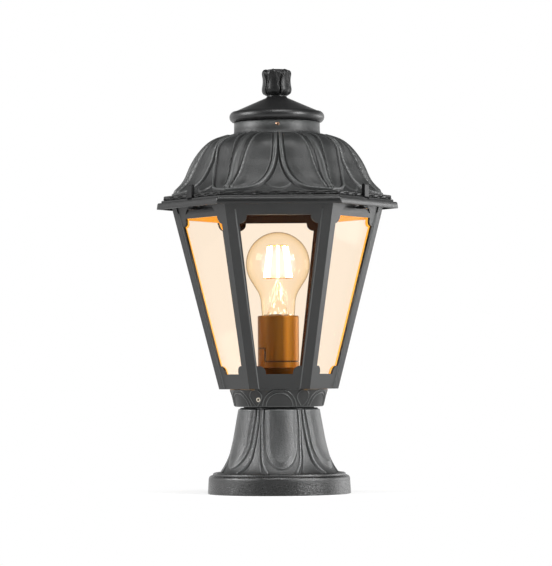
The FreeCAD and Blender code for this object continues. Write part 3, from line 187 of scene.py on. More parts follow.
# Hood: hexagonal rim and ledge, a row of scooped beads, and a dome of six leaves that meet under the neck
hoodLook = {
    "columns": 696,
    "smooth": 50,
    "rim": ((113.2, 267.2), (113.6, 267.6), (112.9, 272.4), (112.2, 273.2)),
    "ledge": ((109.6, 273.2), (109.2, 273.6), (109.2, 275.0), (108.7, 275.5)),
    "beadMiddle": (105.6, 277.6),
    "beadRadius": 2.1,
    "beadTurn": (-80, 90),
    "beadRows": 18,
    "dome": (
        (102.0, 277.7), (94.0, 284.47), (86.43, 293.13), (81.21, 304.5), (72.61, 318.75), (59.7, 330.47),
        (47.28, 334.89), (41.4, 336.6),
    ),
    "domeRows": 112,
    "firstRow": 2,
    "rounding": (0.5, 1),
    "neck": (
        (41.9, 336.7), (41.3, 337.3), (40.85, 338.2), (40.55, 339.4), (40.4, 341.0), (40.4, 348.2),
        (40.0, 348.6),
    ),
    "bore": ((36.6, 348.6), (36.6, 338.0)),
    "lining": {"wall": 2.8, "margin": 8, "step": 12},
    "mouth": ((94.75, 278.3), (94.75, 270.5), (110.83, 270.5), (110.83, 267.2)),
    "scoop": {
        "pitch": 16.8, "shift": -3.9, "reach": 5.0, "height": 1.3, "depth": 1.4, "slant": 0.1,
        "pit": 1.6, "pitPlace": 0.9, "pitWidth": 0.85,
        "lip": 0.7, "lipWidth": 0.6, "lipEnds": (-0.3, 0.8), "lipFacing": (0.7, 0.84),
    },
    "leafFoot": 2.2,
    "leastRise": 0.2,
    "gap": (26.5, 12.3),
    "flare": (25.0, 1.3),
    "gapDepth": 1.5,
    "gapEdge": (-0.7, 0.3),
    "rib": {"inset": 1.7, "width": 1.75, "height": 1.45},
    "groove": {"inset": 4.1, "width": 0.75, "depth": 0.75},
    "crown": {"height": 0.8, "inset": (4.5, 13.0)},
    "vein": {"foot": 3.8, "wide": 8.2, "start": -4.0, "rise": 30.0, "width": 0.8, "height": 1.0},
    "valley": {"width": 4.0, "depth": 0.95, "edge": (0.4, 1.6), "outerShare": 0.5},
    "spine": {"width": 3.6, "height": 1.7, "least": 0.62, "swell": 0.38, "bias": 0.8},
    "foldInset": (2.6, 4.6),
    "tongue": {
        "radius": 17.5, "height": 1.0, "gap": 1.6, "inset": 0.9, "edge": (0.0, 1.5),
        "crown": 1.25, "fall": 0.5,
    },
    "fadeIn": (0.0, 0.02),
    "fadeOut": (0.945, 0.99),
}


def scoops(along, radius, height, outward, share):
    look = hoodLook["scoop"]
    beside = np.mod(along - look["shift"] + look["pitch"] / 2, look["pitch"]) - look["pitch"] / 2
    level = height - hoodLook["beadMiddle"][1] - look["slant"] * beside
    spoon = 1 - (beside / look["reach"]) ** 2 - (level / look["height"]) ** 2
    fromPit = np.hypot(np.abs(beside) - look["reach"] * look["pitPlace"], level)
    pits = np.maximum(0, 1 - fromPit / (look["height"] * look["pitWidth"]))
    edge = look["height"] * bead(beside, look["reach"])
    lip = look["lip"] * bead(level + edge, look["lipWidth"])
    lip = lip * stepUp(look["reach"] - np.abs(beside), *look["lipEnds"]) * stepUp(outward, *look["lipFacing"])
    return lip - np.minimum(look["depth"] * np.clip(spoon, 0, 1) + look["pit"] * pits, look["pit"])


def leaves(along, radius, height, outward, share):
    look = hoodLook
    across = np.abs(along)
    fromHip = radius / 2 - across
    rise = np.maximum(outward, look["leastRise"])
    above = height - look["dome"][0][1] - look["leafFoot"]
    up = np.maximum(above, 0)
    wide, decay = look["gap"]
    flare, flareDecay = look["flare"]
    gap = wide * np.exp(-up / decay) + flare * np.exp(-up / flareDecay)
    narrowing = wide / decay * np.exp(-up / decay) + flare / flareDecay * np.exp(-up / flareDecay)
    inside = (across - gap) / np.hypot(1, narrowing * rise)
    inside = np.where(above < 0, np.minimum(inside, above / rise), inside)
    rib, groove, crown, tongue = look["rib"], look["groove"], look["crown"], look["tongue"]
    lift = -look["gapDepth"] * (1 - stepUp(inside, *look["gapEdge"]))
    lift += rib["height"] * bead(inside - rib["inset"], rib["width"])
    lift -= groove["depth"] * bead(inside - groove["inset"], groove["width"])
    lift += crown["height"] * stepUp(inside, *crown["inset"])
    vein, valley, spine = look["vein"], look["valley"], look["spine"]
    offset = vein["foot"] + (vein["wide"] - vein["foot"]) * stepUp(above, vein["start"], vein["rise"])
    fold = vein["height"] * bead(fromHip - offset, vein["width"])
    fold -= valley["depth"] * stepUp(offset - fromHip, *valley["edge"])
    outer = (fromHip - offset - valley["width"]) / valley["width"]
    fold -= valley["depth"] * valley["outerShare"] * np.exp(-outer ** 2)
    swell = np.sin(math.pi * np.clip(share, 0, 1) ** spine["bias"])
    narrow = spine["width"] * (spine["least"] + spine["swell"] * swell)
    fold += (spine["height"] + valley["depth"]) * bead(fromHip, narrow)
    lift += fold * stepUp(inside, *look["foldInset"])
    below = np.maximum(look["leafFoot"] + tongue["gap"] + tongue["radius"] - height + look["dome"][0][1], 0)
    within = np.minimum(-inside - tongue["inset"], tongue["radius"] - np.hypot(across, below))
    bulge = tongue["crown"] - tongue["fall"] * (across / tongue["radius"]) ** 2
    lift += tongue["height"] * bulge * stepUp(within, *tongue["edge"])
    return lift * stepUp(share, *look["fadeIn"]) * (1 - stepUp(share, *look["fadeOut"]))


def carveHood():
    look = hoodLook
    skin = Skin()
    skin.plainRings(look["rim"] + look["ledge"])
    middle, level = look["beadMiddle"]
    for turn in np.radians(np.linspace(*look["beadTurn"], look["beadRows"])):
        normal = (math.cos(turn), math.sin(turn))
        place = (middle + look["beadRadius"] * normal[0], level + look["beadRadius"] * normal[1])
        skin.ring(*place, 0, normal, scoops)
    line, way = smoothLine(look["dome"], look["domeRows"])
    climbed = (line[:, 1] - line[0, 1]) / (line[-1, 1] - line[0, 1])
    roundness = stepUp(climbed, *look["rounding"])
    skin.carvedRings(line, way, roundness, leaves, look["firstRow"])
    skin.plainRings(look["neck"] + look["bore"], 1)
    lining = look["lining"]
    for k in range(len(line) - lining["margin"], lining["margin"], -lining["step"]):
        inner = (line[k, 0] - lining["wall"] * way[k, 1], line[k, 1] + lining["wall"] * way[k, 0])
        skin.ring(*inner, roundness[k])
    skin.plainRings(look["mouth"] + look["rim"][:1])
    return skin.build("carvedHood", look["columns"])


latchNotch = {
    "inner": 88.76,
    "outer": 95.68,
    "width": 8.6,
    "foot": 266.0,
    "top": 280.7,
    "angles": (90, 210, 330),
}


def latchNotches():
    cutters = []
    middle = (latchNotch["inner"] + latchNotch["outer"]) / 2
    level = (latchNotch["foot"] + latchNotch["top"]) / 2
    for degrees in latchNotch["angles"]:
        angle = math.radians(degrees)
        bpy.ops.mesh.primitive_cube_add(
            size=1, location=(middle * math.cos(angle) * mm, middle * math.sin(angle) * mm, level * mm),
            rotation=(0, 0, angle),
            scale=[
                (latchNotch["outer"] - latchNotch["inner"]) * mm, latchNotch["width"] * mm,
                (latchNotch["top"] - latchNotch["foot"]) * mm,
            ],
        )
        cutters.append(bpy.context.object)
    return cutters


hood = carveHood()
cutAway(hood, latchNotches())
dress(hood, "hood", "anthracite_resin", hoodLook["smooth"], "hood")

# Pedestal: turned foot and ring, and a column with six petals, each with a raised tongue
pedestalLook = {
    "columns": 480,
    "smooth": 45,
    "turn": 2.0,
    "foot": ((66.7, 0.0), (67.2, 0.5), (66.4, 13.6), (66.25, 15.0), (65.6, 16.3), (64.6, 17.1), (63.5, 17.4)),
    "ring": (
        (63.3, 17.2), (63.1, 16.6), (62.5, 16.6), (62.4, 16.9), (62.4, 18.6), (62.05, 19.3), (61.2, 19.8),
    ),
    "column": ((57.4, 19.0), (52.95, 23.92), (45.32, 38.68), (40.33, 58.98), (36.2, 80.5)),
    "columnRows": 108,
    "columnRun": 66.0,
    "firstRow": 2,
    "spigot": ((34.6, 80.5), (33.0, 80.5), (33.0, 98.0), (30.0, 98.0), (30.0, 77.5)),
    "inside": ((36.5, 59.2), (41.5, 39.2), (49.1, 24.7), (49.1, 5.0), (7.05, 5.0), (7.05, 0.0), (66.7, 0.0)),
    "petal": {
        "half": 18.9, "closing": 6.0, "rise": 19.0, "apart": 1.5, "gapDepth": 1.6, "gapEdge": (-1.0, 0.2),
    },
    "edge": {"inset": 1.1, "width": 1.15, "height": 0.95},
    "tongue": {
        "half": 14.6, "long": 25.0, "foot": 6.2, "height": 1.5, "edge": (-0.35, 0.4),
        "crown": 1.8, "fall": 0.85, "crownInset": (0.0, 4.5),
    },
    "sideLeaf": {"share": 0.72, "height": 1.2, "edge": (-0.5, 0.8)},
    "fadeIn": (0.0, 0.03),
    "fadeOut": (0.965, 0.995),
}


def petals(along, radius, height, outward, share):
    look = pedestalLook
    petal, edge, tongue, leaf = look["petal"], look["edge"], look["tongue"], look["sideLeaf"]
    arc = radius * np.arcsin(np.clip(np.abs(along) / radius, 0, 1))
    sector = radius * math.radians(30)
    run = share * look["columnRun"]
    closing = np.maximum(1 - run / petal["rise"], 0) ** 2
    half = np.minimum(petal["half"] - petal["closing"] * closing, sector - petal["apart"])
    within = half - arc
    below = np.maximum(tongue["foot"] + tongue["long"] - run, 0)
    inTongue = tongue["half"] * (1 - np.hypot(arc / tongue["half"], below / tongue["long"]))
    sideways = (sector - half) * leaf["share"] - (sector - arc)
    lift = -petal["gapDepth"] * (1 - stepUp(within, *petal["gapEdge"]))
    lift += edge["height"] * bead(within - edge["inset"], edge["width"])
    lift += tongue["height"] * stepUp(inTongue, *tongue["edge"])
    crown = 1 - tongue["fall"] * (arc / tongue["half"]) ** 2
    lift += tongue["crown"] * crown * stepUp(inTongue, *tongue["crownInset"])
    lift += leaf["height"] * stepUp(sideways, *leaf["edge"])
    return lift * stepUp(share, *look["fadeIn"]) * (1 - stepUp(share, *look["fadeOut"]))


def carvePedestal():
    look = pedestalLook
    skin = Skin()
    skin.plainRings(look["foot"] + look["ring"], 1)
    line, way = smoothLine(look["column"], look["columnRows"])
    skin.carvedRings(line, way, np.ones(len(line)), petals, look["firstRow"])
    skin.plainRings(look["spigot"] + look["inside"], 1)
    return skin.build("carvedPedestal", look["columns"], look["turn"])


pedestalHoles = {
    "fixingCircle": 25.0,
    "fixing": 3.25,
    "angles": (30, 150, 270),
    "block": 1.75,
    "blockPlace": 22.0,
    "depth": 12,
    "level": 2.5,
}


def floorHoles():
    look = pedestalHoles
    cutters = [hole(look["block"], look["depth"], (0, look["blockPlace"], look["level"]))]
    for degrees in look["angles"]:
        angle = math.radians(degrees)
        reach = look["fixingCircle"]
        place = (reach * math.cos(angle), reach * math.sin(angle), look["level"])
        cutters.append(hole(look["fixing"], look["depth"], place))
    return cutters


pedestal = carvePedestal()
cutAway(pedestal, floorHoles())
dress(pedestal, "lantern", "anthracite_resin", pedestalLook["smooth"], "pedestal")

# Collar: a flared ring with thin raised arches and buds between them
collarLook = {
    "columns": 540,
    "smooth": 45,
    "foot": ((33.3, 81.5), (41.0, 81.5)),
    "wall": ((41.4, 81.9), (45.75, 97.7)),
    "wallRows": 44,
    "top": ((45.4, 98.0), (33.3, 98.0), (33.3, 81.5)),
    "line": 0.62,
    "height": 0.6,
    "arch": {"radius": 15.8, "step": 3.3, "rise": 0.4},
    "bud": {"radius": 6.2, "rise": 9.8, "taper": 1.5},
    "fadeIn": (0, 0.05),
    "fadeOut": (0.95, 1),
}


def arches(along, radius, height, outward, share):
    look = collarLook
    arch, bud = look["arch"], look["bud"]
    arc = radius * np.arcsin(np.clip(np.abs(along) / radius, 0, 1))
    aside = radius * math.radians(30) - arc
    level = height - look["foot"][0][1]
    reach = np.hypot(arc, level - arch["rise"])
    past = reach - arch["radius"]
    lines = bead(past, look["line"]) + bead(past + arch["step"], look["line"])
    above = level - bud["rise"]
    taper = 1 - (np.maximum(-above, 0) / bud["rise"]) ** bud["taper"]
    inBud = bud["radius"] * taper - np.hypot(aside, np.maximum(above, 0))
    lines = np.minimum(np.maximum(lines, bead(inBud, look["line"])), 1)
    return look["height"] * lines * stepUp(share, *look["fadeIn"]) * (1 - stepUp(share, *look["fadeOut"]))


def carveCollar():
    look = collarLook
    skin = Skin()
    skin.plainRings(look["foot"], 1)
    low, high = np.array(look["wall"])
    way = (high - low) / np.hypot(*(high - low))
    for share in np.linspace(0, 1, look["wallRows"]):
        skin.ring(*(low + (high - low) * share), 1, (way[1], -way[0]), arches, share)
    skin.plainRings(look["top"], 1)
    return skin.build("carvedCollar", look["columns"])


collarHoles = {"radius": 2.15, "depth": 24, "level": 88.3, "reach": 42.0, "angles": (3, 123, 243)}


def screwHoles():
    cutters = []
    for degrees in collarHoles["angles"]:
        angle = math.radians(degrees)
        reach = collarHoles["reach"]
        place = (reach * math.cos(angle), reach * math.sin(angle), collarHoles["level"])
        cutters.append(hole(collarHoles["radius"], collarHoles["depth"], place, (0, math.pi / 2, angle)))
    return cutters


collar = carveCollar()
cutAway(collar, screwHoles())
dress(collar, "lantern", "anthracite_resin", collarLook["smooth"], "neck_collar")

# Finial: six petals with raised edges, parted by notches that open at the top
finialLook = {
    "columns": 240,
    "smooth": 40,
    "turn": -17.0,
    "stud": ((0.0, 364.6), (3.0, 364.6), (3.0, 374.1)),
    "side": (
        (10.3, 374.1), (12.0, 375.4), (13.2, 377.1), (13.7, 379.1), (13.4, 382.2), (12.75, 387.0),
        (12.9, 391.5), (13.3, 395.0), (12.5, 397.3), (10.6, 398.6),
    ),
    "sideRows": 70,
    "top": ((9.0, 398.5), (7.6, 398.7), (4.0, 399.0), (0.0, 399.0)),
    "notch": {"top": 5.0, "stem": 0.55, "start": 0.42, "bias": 1.4, "depth": 1.7, "edge": (-0.5, 0.25)},
    "edge": {"inset": 0.85, "width": 0.85, "height": 0.55},
    "fadeIn": (0.02, 0.12),
    "fadeOut": (0.93, 1.0),
    "fadeShare": 0.6,
}


def petalTips(along, radius, height, outward, share):
    look = finialLook
    notch, edge = look["notch"], look["edge"]
    aside = radius * (math.radians(30) - np.arcsin(np.clip(np.abs(along) / radius, 0, 1)))
    opening = np.clip((share - notch["start"]) / (1 - notch["start"]), 0, 1) ** notch["bias"]
    half = notch["stem"] + (notch["top"] - notch["stem"]) * opening
    lift = -notch["depth"] * (1 - stepUp(aside - half, *notch["edge"]))
    lift += edge["height"] * bead(aside - half - edge["inset"], edge["width"])
    return lift * stepUp(share, *look["fadeIn"]) * (1 - stepUp(share, *look["fadeOut"]) * look["fadeShare"])


def carveFinial():
    look = finialLook
    skin = Skin()
    skin.plainRings(look["stud"], 1)
    line, way = smoothLine(look["side"], look["sideRows"])
    skin.carvedRings(line, way, np.ones(len(line)), petalTips)
    skin.plainRings(look["top"], 1)
    return skin.build("carvedFinial", look["columns"], look["turn"])


finial = carveFinial()
dress(finial, "hood", "gloss_black", finialLook["smooth"], "finial")

# Bulb: one blown skin, with its tail inside the cap
bulbLook = {
    "columns": 96,
    "smooth": 60,
    "centre": 215.5,
    "radius": 30.0,
    "turn": 32.0,
    "rows": 44,
    "bend": 24.0,
    "bendRows": 14,
    "neck": (16.2, 178.0),
    "tail": ((15.7, 172.2), (15.4, 168.0), (15.3, 165.2), (12.7, 163.8), (12.7, 163.0), (0.0, 163.0)),
}


def blowBulb():
    look = bulbLook
    skin = Skin()
    for angle in np.radians(np.linspace(90, -look["turn"], look["rows"])):
        skin.ring(look["radius"] * math.cos(angle), look["centre"] + look["radius"] * math.sin(angle), 1)
    neck, level = look["neck"]
    for angle in np.radians(np.linspace(look["turn"], 0, look["bendRows"])):
        skin.ring(neck + look["bend"] * (1 - math.cos(angle)), level + look["bend"] * math.sin(angle), 1)
    skin.plainRings(look["tail"], 1)
    return skin.build("blownBulb", look["columns"])


bulb = blowBulb()
dress(bulb, "lantern", "clear_glass", bulbLook["smooth"], "bulb_glass")

# Painted shade: a dark strip put in the joint over the tab of the holder's skirt, where the gap is in shade
shadeStripLook = {
    "columns": 96,
    "smooth": 40,
    "rings": ((16.4, 135.95), (19.15, 135.95), (19.15, 136.55), (16.4, 136.55), (16.4, 135.95)),
    "edge": -13.3,
    "cutter": (40.0, 40.0, 4.0),
}


def makeShadeStrip():
    look = shadeStripLook
    skin = Skin()
    skin.plainRings(look["rings"], 1)
    piece = skin.build("holderShadeStrip", look["columns"])
    wide, deep, tall = look["cutter"]
    bpy.ops.mesh.primitive_cube_add(
        size=1, location=((look["edge"] + wide / 2) * mm, 0, look["rings"][0][1] * mm),
        scale=(wide * mm, deep * mm, tall * mm),
    )
    cutAway(piece, [bpy.context.object])
    return piece


jointShadeStrip = makeShadeStrip()
dress(jointShadeStrip, "lantern", "black_rubber", shadeStripLook["smooth"])

# Fillets: the slope from each raised corner post down to the panel beside it
filletLook = {
    "smooth": 30,
    "foot": (56.0, 98.3),
    "head": (97.9, 263.0),
    "post": 8.4,
    "recess": 1.0,
    "width": 1.35,
    "sink": 0.05,
    "overlap": 0.1,
}


def postFillets():
    look = filletLook
    strips = []
    for k in range(12):
        side = 1 if k % 2 else -1
        turn = math.radians(60 * (k // 2) + 30)
        outward = Vector((math.cos(turn), math.sin(turn), 0))
        along = Vector((-math.sin(turn), math.cos(turn), 0)) * side
        bpy.ops.object.select_all(action="DESELECT")
        bpy.ops.mesh.primitive_cylinder_add(vertices=3, radius=1, depth=1)
        strip = bpy.context.object
        for vertex in strip.data.vertices:
            radius, level = look["head"] if vertex.co.z > 0 else look["foot"]
            corner = round(math.degrees(math.atan2(vertex.co.x, vertex.co.y)) / 120) % 3
            half = radius / 2 - look["post"]
            face = radius * cos30
            floor = face - look["recess"] - look["overlap"]
            edge = half + look["overlap"]
            corners = ((face - look["sink"], edge), (floor, edge), (floor, half - look["width"]))
            reach, aside = corners[corner]
            vertex.co = (outward * reach + along * aside + Vector((0, 0, level))) * mm
        strips.append(strip)
    choose(strips)
    bpy.ops.object.join()
    piece = bpy.context.object
    piece.name = "postFillets"
    bpy.ops.object.mode_set(mode="EDIT")
    bpy.ops.mesh.select_all(action="SELECT")
    bpy.ops.mesh.normals_make_consistent(inside=False)
    bpy.ops.object.mode_set(mode="OBJECT")
    return piece


fillets = postFillets()
dress(fillets, "lantern", "anthracite_resin", filletLook["smooth"])


# Noise swings about its middle, and is finer with more detail
noiseMiddle = 0.5
fineDetail = 3.0


# Shader sockets that add their own Math nodes
class Wire:
    def __init__(self, board, socket):
        self.board = board
        self.socket = socket

    def maths(self, operation, *values):
        return self.board.make("ShaderNodeMath", {"operation": operation}, *values)

    def __add__(self, other):
        return self.maths("ADD", self, other)

    def __radd__(self, other):
        return self.maths("ADD", other, self)

    def __sub__(self, other):
        return self.maths("SUBTRACT", self, other)

    def __rsub__(self, other):
        return self.maths("SUBTRACT", other, self)

    def __mul__(self, other):
        return self.maths("MULTIPLY", self, other)

    def __rmul__(self, other):
        return self.maths("MULTIPLY", other, self)

    def __pow__(self, other):
        return self.maths("POWER", self, other)

    def __abs__(self):
        return self.maths("ABSOLUTE", self)

    def most(self, other):
        return self.maths("MAXIMUM", self, other)

    def least(self, other):
        return self.maths("MINIMUM", self, other)

    def between(self, low, high):
        smooth = {"interpolation_type": "SMOOTHSTEP"}
        return self.board.make("ShaderNodeMapRange", smooth, self, low, high, 0.0, 1.0)

    def swing(self, size):
        return size * (self - noiseMiddle)


class Board:
    # One node tree, of a material or the world
    def __init__(self, owner):
        owner.use_nodes = True
        self.owner = owner
        self.tree = owner.node_tree
        self.tree.nodes.clear()

    def make(self, kind, settings, *values, **named):
        node = self.tree.nodes.new(kind)
        for key, value in settings.items():
            if key != "output":
                setattr(node, key, value)
        for key, value in list(enumerate(values)) + list(named.items()):
            socket = node.inputs[key if isinstance(key, int) else key.replace("_", " ")]
            if isinstance(value, Wire):
                self.tree.links.new(value.socket, socket)
            elif value is not None:
                socket.default_value = value
        if node.outputs:
            return Wire(self, node.outputs[settings.get("output", 0)])

    def place(self):
        return self.make("ShaderNodeTexCoord", {"output": "Object"})

    def stretched(self, scale):
        return self.make("ShaderNodeMapping", {}, Vector=self.place(), Scale=scale)

    def noise(self, scale, detail=2.0, place=None):
        return self.make("ShaderNodeTexNoise", {}, Vector=place or self.place(), Scale=scale, Detail=detail)

    def blend(self, factor, low, high):
        unused = (None,) * 5
        return self.make("ShaderNodeMix", {"data_type": "RGBA", "output": 2}, factor, *unused, low, high)

    def bump(self, height, distance, strength=0.6):
        return self.make("ShaderNodeBump", {}, Strength=strength, Distance=distance, Height=height)

    def surface(self, **sockets):
        return self.make("ShaderNodeBsdfPrincipled", {}, **sockets)

    def clear(self, tint):
        return self.make("ShaderNodeBsdfTransparent", {}, Color=tint)

    def mix(self, factor, low, high):
        return self.make("ShaderNodeMixShader", {}, factor, low, high)

    def facing(self):
        return self.make("ShaderNodeLayerWeight", {"output": "Facing"}, Blend=0.5)

    def along(self, way):
        dot = {"operation": "DOT_PRODUCT", "output": "Value"}
        return self.make("ShaderNodeVectorMath", dot, self.place(), way)

    def height(self):
        return self.along((0.0, 0.0, 1.0))

    def light(self, tint, strength):
        return self.make("ShaderNodeEmission", {}, Color=tint, Strength=strength)

    def ray(self, kind):
        return self.make("ShaderNodeLightPath", {"output": kind})

    def reflected(self):
        return self.ray("Is Glossy Ray").most(self.ray("Is Transmission Ray"))

    def close(self, shader):
        self.make("ShaderNodeOutputMaterial", {}, shader)
        return self.owner


def newBoard(name):
    return Board(bpy.data.materials.new(name))


def colour(red, green, blue):
    return (red, green, blue, 1.0)


# Moulded resin: a fine grain, slow clouds in the colour, and on carved pieces painted highlights on the ridges
# and painted shade in the hollows
resin = {
    "colour": colour(0.0066, 0.007, 0.0069),
    "pale": colour(0.0122, 0.0129, 0.0128),
    "grain": 1300.0,
    "grainShare": 0.6,
    "grainSpread": (0.35, 0.65),
    "cloud": 38.0,
    "cloudShare": 0.4,
    "cloudSpread": (0.3, 0.7),
    "paintedShading": 0.0,
    "paintedHighlight": colour(0.09, 0.094, 0.093),
    "ridge": (0.505, 0.54),
    "corner": (0.57, 0.62),
    "ridgeGloss": 0.12,
    "hollowShade": colour(0.0015, 0.0015, 0.0015),
    "hollow": (0.455, 0.494),
    "hollowMatt": 0.3,
    "footShade": 1.0,
    "footLevel": (0.0202, 0.0235),
    "roughness": 0.4,
    "sparkle": 0.16,
    "shine": 0.5,
    "depth": 0.00024,
}
hoodResin = {
    **resin, "colour": colour(0.0098, 0.0104, 0.0103), "pale": colour(0.022, 0.0233, 0.023), "paintedShading": 0.55,
    "footShade": 0.5, "footLevel": (0.2795, 0.2802),
    "roughness": 0.46, "sparkle": 0.25, "grain": 1100.0, "depth": 0.0004,
}
collarResin = {**resin, "paintedShading": 0.7}
finialResin = {
    **resin, "colour": colour(0.0035, 0.0036, 0.0038), "pale": colour(0.006, 0.0062, 0.0065),
    "sparkle": 0.1, "shine": 0.35, "depth": 0.0001,
}
# Painted highlight: the post fillets get a resin far paler than the rest, standing for light caught on the
# steps beside the posts
highlitEdgeResin = {**resin, "colour": colour(0.05, 0.053, 0.0528), "pale": colour(0.07, 0.0742, 0.074)}
sandedResin = {
    **resin, "colour": colour(0.015, 0.0157, 0.0158), "pale": colour(0.046, 0.048, 0.0485), "footShade": 0.6,
    "paintedShading": 0.6, "paintedHighlight": colour(0.14, 0.146, 0.147),
    "sparkle": 0.4, "shine": 0.8, "grain": 1000.0, "depth": 0.0006,
}
polishedResin = {
    **resin, "colour": colour(0.0075, 0.0075, 0.0078), "pale": colour(0.011, 0.011, 0.0114),
    "roughness": 0.36, "sparkle": 0.12, "depth": 0.00012,
}


def resinShader(board, look):
    grain = board.noise(look["grain"], fineDetail)
    grains = look["grainShare"] * grain.between(*look["grainSpread"])
    clouds = look["cloudShare"] * board.noise(look["cloud"]).between(*look["cloudSpread"])
    tint = board.blend(grains + clouds, look["colour"], look["pale"])
    roughness = look["roughness"] + grain.swing(look["sparkle"])
    if look["paintedShading"]:
        # Painted highlight on convex ridges and painted shade in hollows, found by Pointiness; ridges are also
        # glossier and hollows more matt
        bulge = board.make("ShaderNodeNewGeometry", {"output": "Pointiness"})
        ridge = bulge.between(*look["ridge"]) * (1.0 - bulge.between(*look["corner"]))
        hollow = 1.0 - bulge.between(*look["hollow"])
        tint = board.blend(look["paintedShading"] * ridge, tint, look["paintedHighlight"])
        tint = board.blend(look["paintedShading"] * hollow, tint, look["hollowShade"])
        roughness = roughness - look["ridgeGloss"] * ridge + look["hollowMatt"] * hollow
    # Painted shade: below footLevel the colour is darker, on the pedestal's foot and ring and on the hood's
    # rim, ledge and bead row
    if look["footShade"] < 1:
        dull = colour(*(look["footShade"] * share for share in look["colour"][:3]))
        tint = board.blend(board.height().between(*look["footLevel"]), dull, tint)
    return board.surface(
        Base_Color=tint, Roughness=roughness, Specular_IOR_Level=look["shine"],
        Normal=board.bump(grain, look["depth"]),
    )


def mouldedResin(name, look):
    board = newBoard(name)
    return board.close(resinShader(board, look))


# The frame's inner faces: brown at front and back, and amber with the lamp's light at the flanks
lampLit = {
    "faces": (30, 90, 150),
    "footLevel": 0.098,
    "footApothem": 0.0485,
    "lean": 0.22,
    "depth": (0.0026, 0.0037),
    "brown": colour(0.026, 0.0095, 0.0035),
    "umber": colour(0.036, 0.014, 0.005),
    "mottle": 120.0,
    "roughness": 0.5,
    "sparkle": 0.2,
    "shine": 0.2,
    "amber": colour(0.84, 0.39, 0.04),
    "amberRoughness": 0.4,
    "glow": 0.85,
    "flank": (-0.0005, 0.0005),
}


def frameResin(name, look):
    board = newBoard(name)
    faces = [math.radians(angle) for angle in lampLit["faces"]]
    right, back, left = [abs(board.along((math.cos(angle), math.sin(angle), 0.0))) for angle in faces]
    outside = lampLit["footApothem"] + lampLit["lean"] * (board.height() - lampLit["footLevel"])
    inside = (outside - right.most(back).most(left)).between(*lampLit["depth"])
    sparkle = board.noise(look["grain"], fineDetail).swing(lampLit["sparkle"])
    brown = board.blend(board.noise(lampLit["mottle"]), lampLit["brown"], lampLit["umber"])
    shaded = board.surface(
        Base_Color=brown, Roughness=lampLit["roughness"] + sparkle, Specular_IOR_Level=lampLit["shine"],
    )
    amber = board.surface(
        Base_Color=lampLit["amber"], Roughness=lampLit["amberRoughness"] + sparkle,
        Emission_Color=lampLit["amber"], Emission_Strength=lampLit["glow"],
    )
    flank = (right.most(left) - back).between(*lampLit["flank"])
    lit = board.mix(flank, shaded, amber)
    return board.close(board.mix(inside, resinShader(board, look), lit))


# Plain plastics, rubber and ceramic: mottled, with a fine skin
plain = {"mottle": 90.0, "spread": (0.25, 0.75), "sparkle": 0.2}


def moulding(name, base, pale, roughness, grain=900.0, depth=0.00005, shine=0.5):
    board = newBoard(name)
    skin = board.noise(grain, fineDetail)
    tint = board.blend(board.noise(plain["mottle"]).between(*plain["spread"]), base, pale)
    return board.close(board.surface(
        Base_Color=tint, Roughness=roughness + skin.swing(plain["sparkle"]), Specular_IOR_Level=shine,
        Normal=board.bump(skin, depth),
    ))


# Metal: drawn lines along Z and a little tarnish
drawn = {
    "lines": (900.0, 900.0, 60.0),
    "tarnish": 160.0,
    "spread": (0.3, 0.75),
    "sparkle": 0.25,
    "depth": 0.00003,
}


def metal(name, base, dull, roughness):
    board = newBoard(name)
    lines = board.noise(1.0, fineDetail, board.stretched(drawn["lines"]))
    tint = board.blend(board.noise(drawn["tarnish"]).between(*drawn["spread"]), base, dull)
    return board.close(board.surface(
        Base_Color=tint, Roughness=roughness + lines.swing(drawn["sparkle"]), Metallic=1.0,
        Normal=board.bump(lines, drawn["depth"]),
    ))


# The holder's lacquered sleeve: drawn lines, a painted highlight that makes it brighter towards +X, and a
# painted shadow line where skirt and base meet
holder = {
    "gold": colour(0.3, 0.135, 0.012),
    "dull": colour(0.11, 0.045, 0.006),
    "paintedHighlight": (-0.014, 0.017),
    "paintedHighlightShare": 0.75,
    "drawn": (700.0, 700.0, 18.0),
    "drawnShare": 0.25,
    "drawnSpread": (0.3, 0.7),
    "line": colour(0.02, 0.009, 0.003),
    "half": (0.0005, 0.0009),
    "joint": 0.12385,
    "tabTop": 0.13625,
    "tabEdge": -0.01285,
    "sideBlur": 0.0001,
    "endBlur": 0.0002,
    "roughness": 0.42,
    "sparkle": 0.2,
    "metallic": 0.7,
    "shine": 0.2,
    "depth": 0.00002,
}


def holderMetal(name):
    board = newBoard(name)
    across = board.along((1.0, 0.0, 0.0))
    height = board.height()
    joint, tabTop, tabEdge = holder["joint"], holder["tabTop"], holder["tabEdge"]
    # Painted shadow: a dark line along the joint and up the edge of the skirt's tab
    beside = across.between(tabEdge - holder["sideBlur"], tabEdge + holder["sideBlur"])
    edge = beside * joint + (1.0 - beside) * tabTop
    level = abs(height - edge).between(*holder["half"])
    tab = height.between(joint - holder["endBlur"], joint)
    tab = tab * (1.0 - height.between(tabTop, tabTop + holder["endBlur"]))
    upright = abs(across - tabEdge).between(*holder["half"])
    dark = (1.0 - level).most((1.0 - upright) * tab)
    lines = board.noise(1.0, fineDetail, board.stretched(holder["drawn"]))
    # Painted highlight: dull on the -X side and gold towards +X, with the drawn lines mixed in
    paintedHighlight = holder["paintedHighlightShare"] * across.between(*holder["paintedHighlight"])
    paintedHighlight = paintedHighlight + holder["drawnShare"] * lines.between(*holder["drawnSpread"])
    gold = board.blend(paintedHighlight, holder["dull"], holder["gold"])
    return board.close(board.surface(
        Base_Color=board.blend(dark, gold, holder["line"]),
        Roughness=holder["roughness"] + lines.swing(holder["sparkle"]),
        Metallic=holder["metallic"] * (1.0 - dark), Specular_IOR_Level=holder["shine"],
        Normal=board.bump(lines, holder["depth"]),
    ))


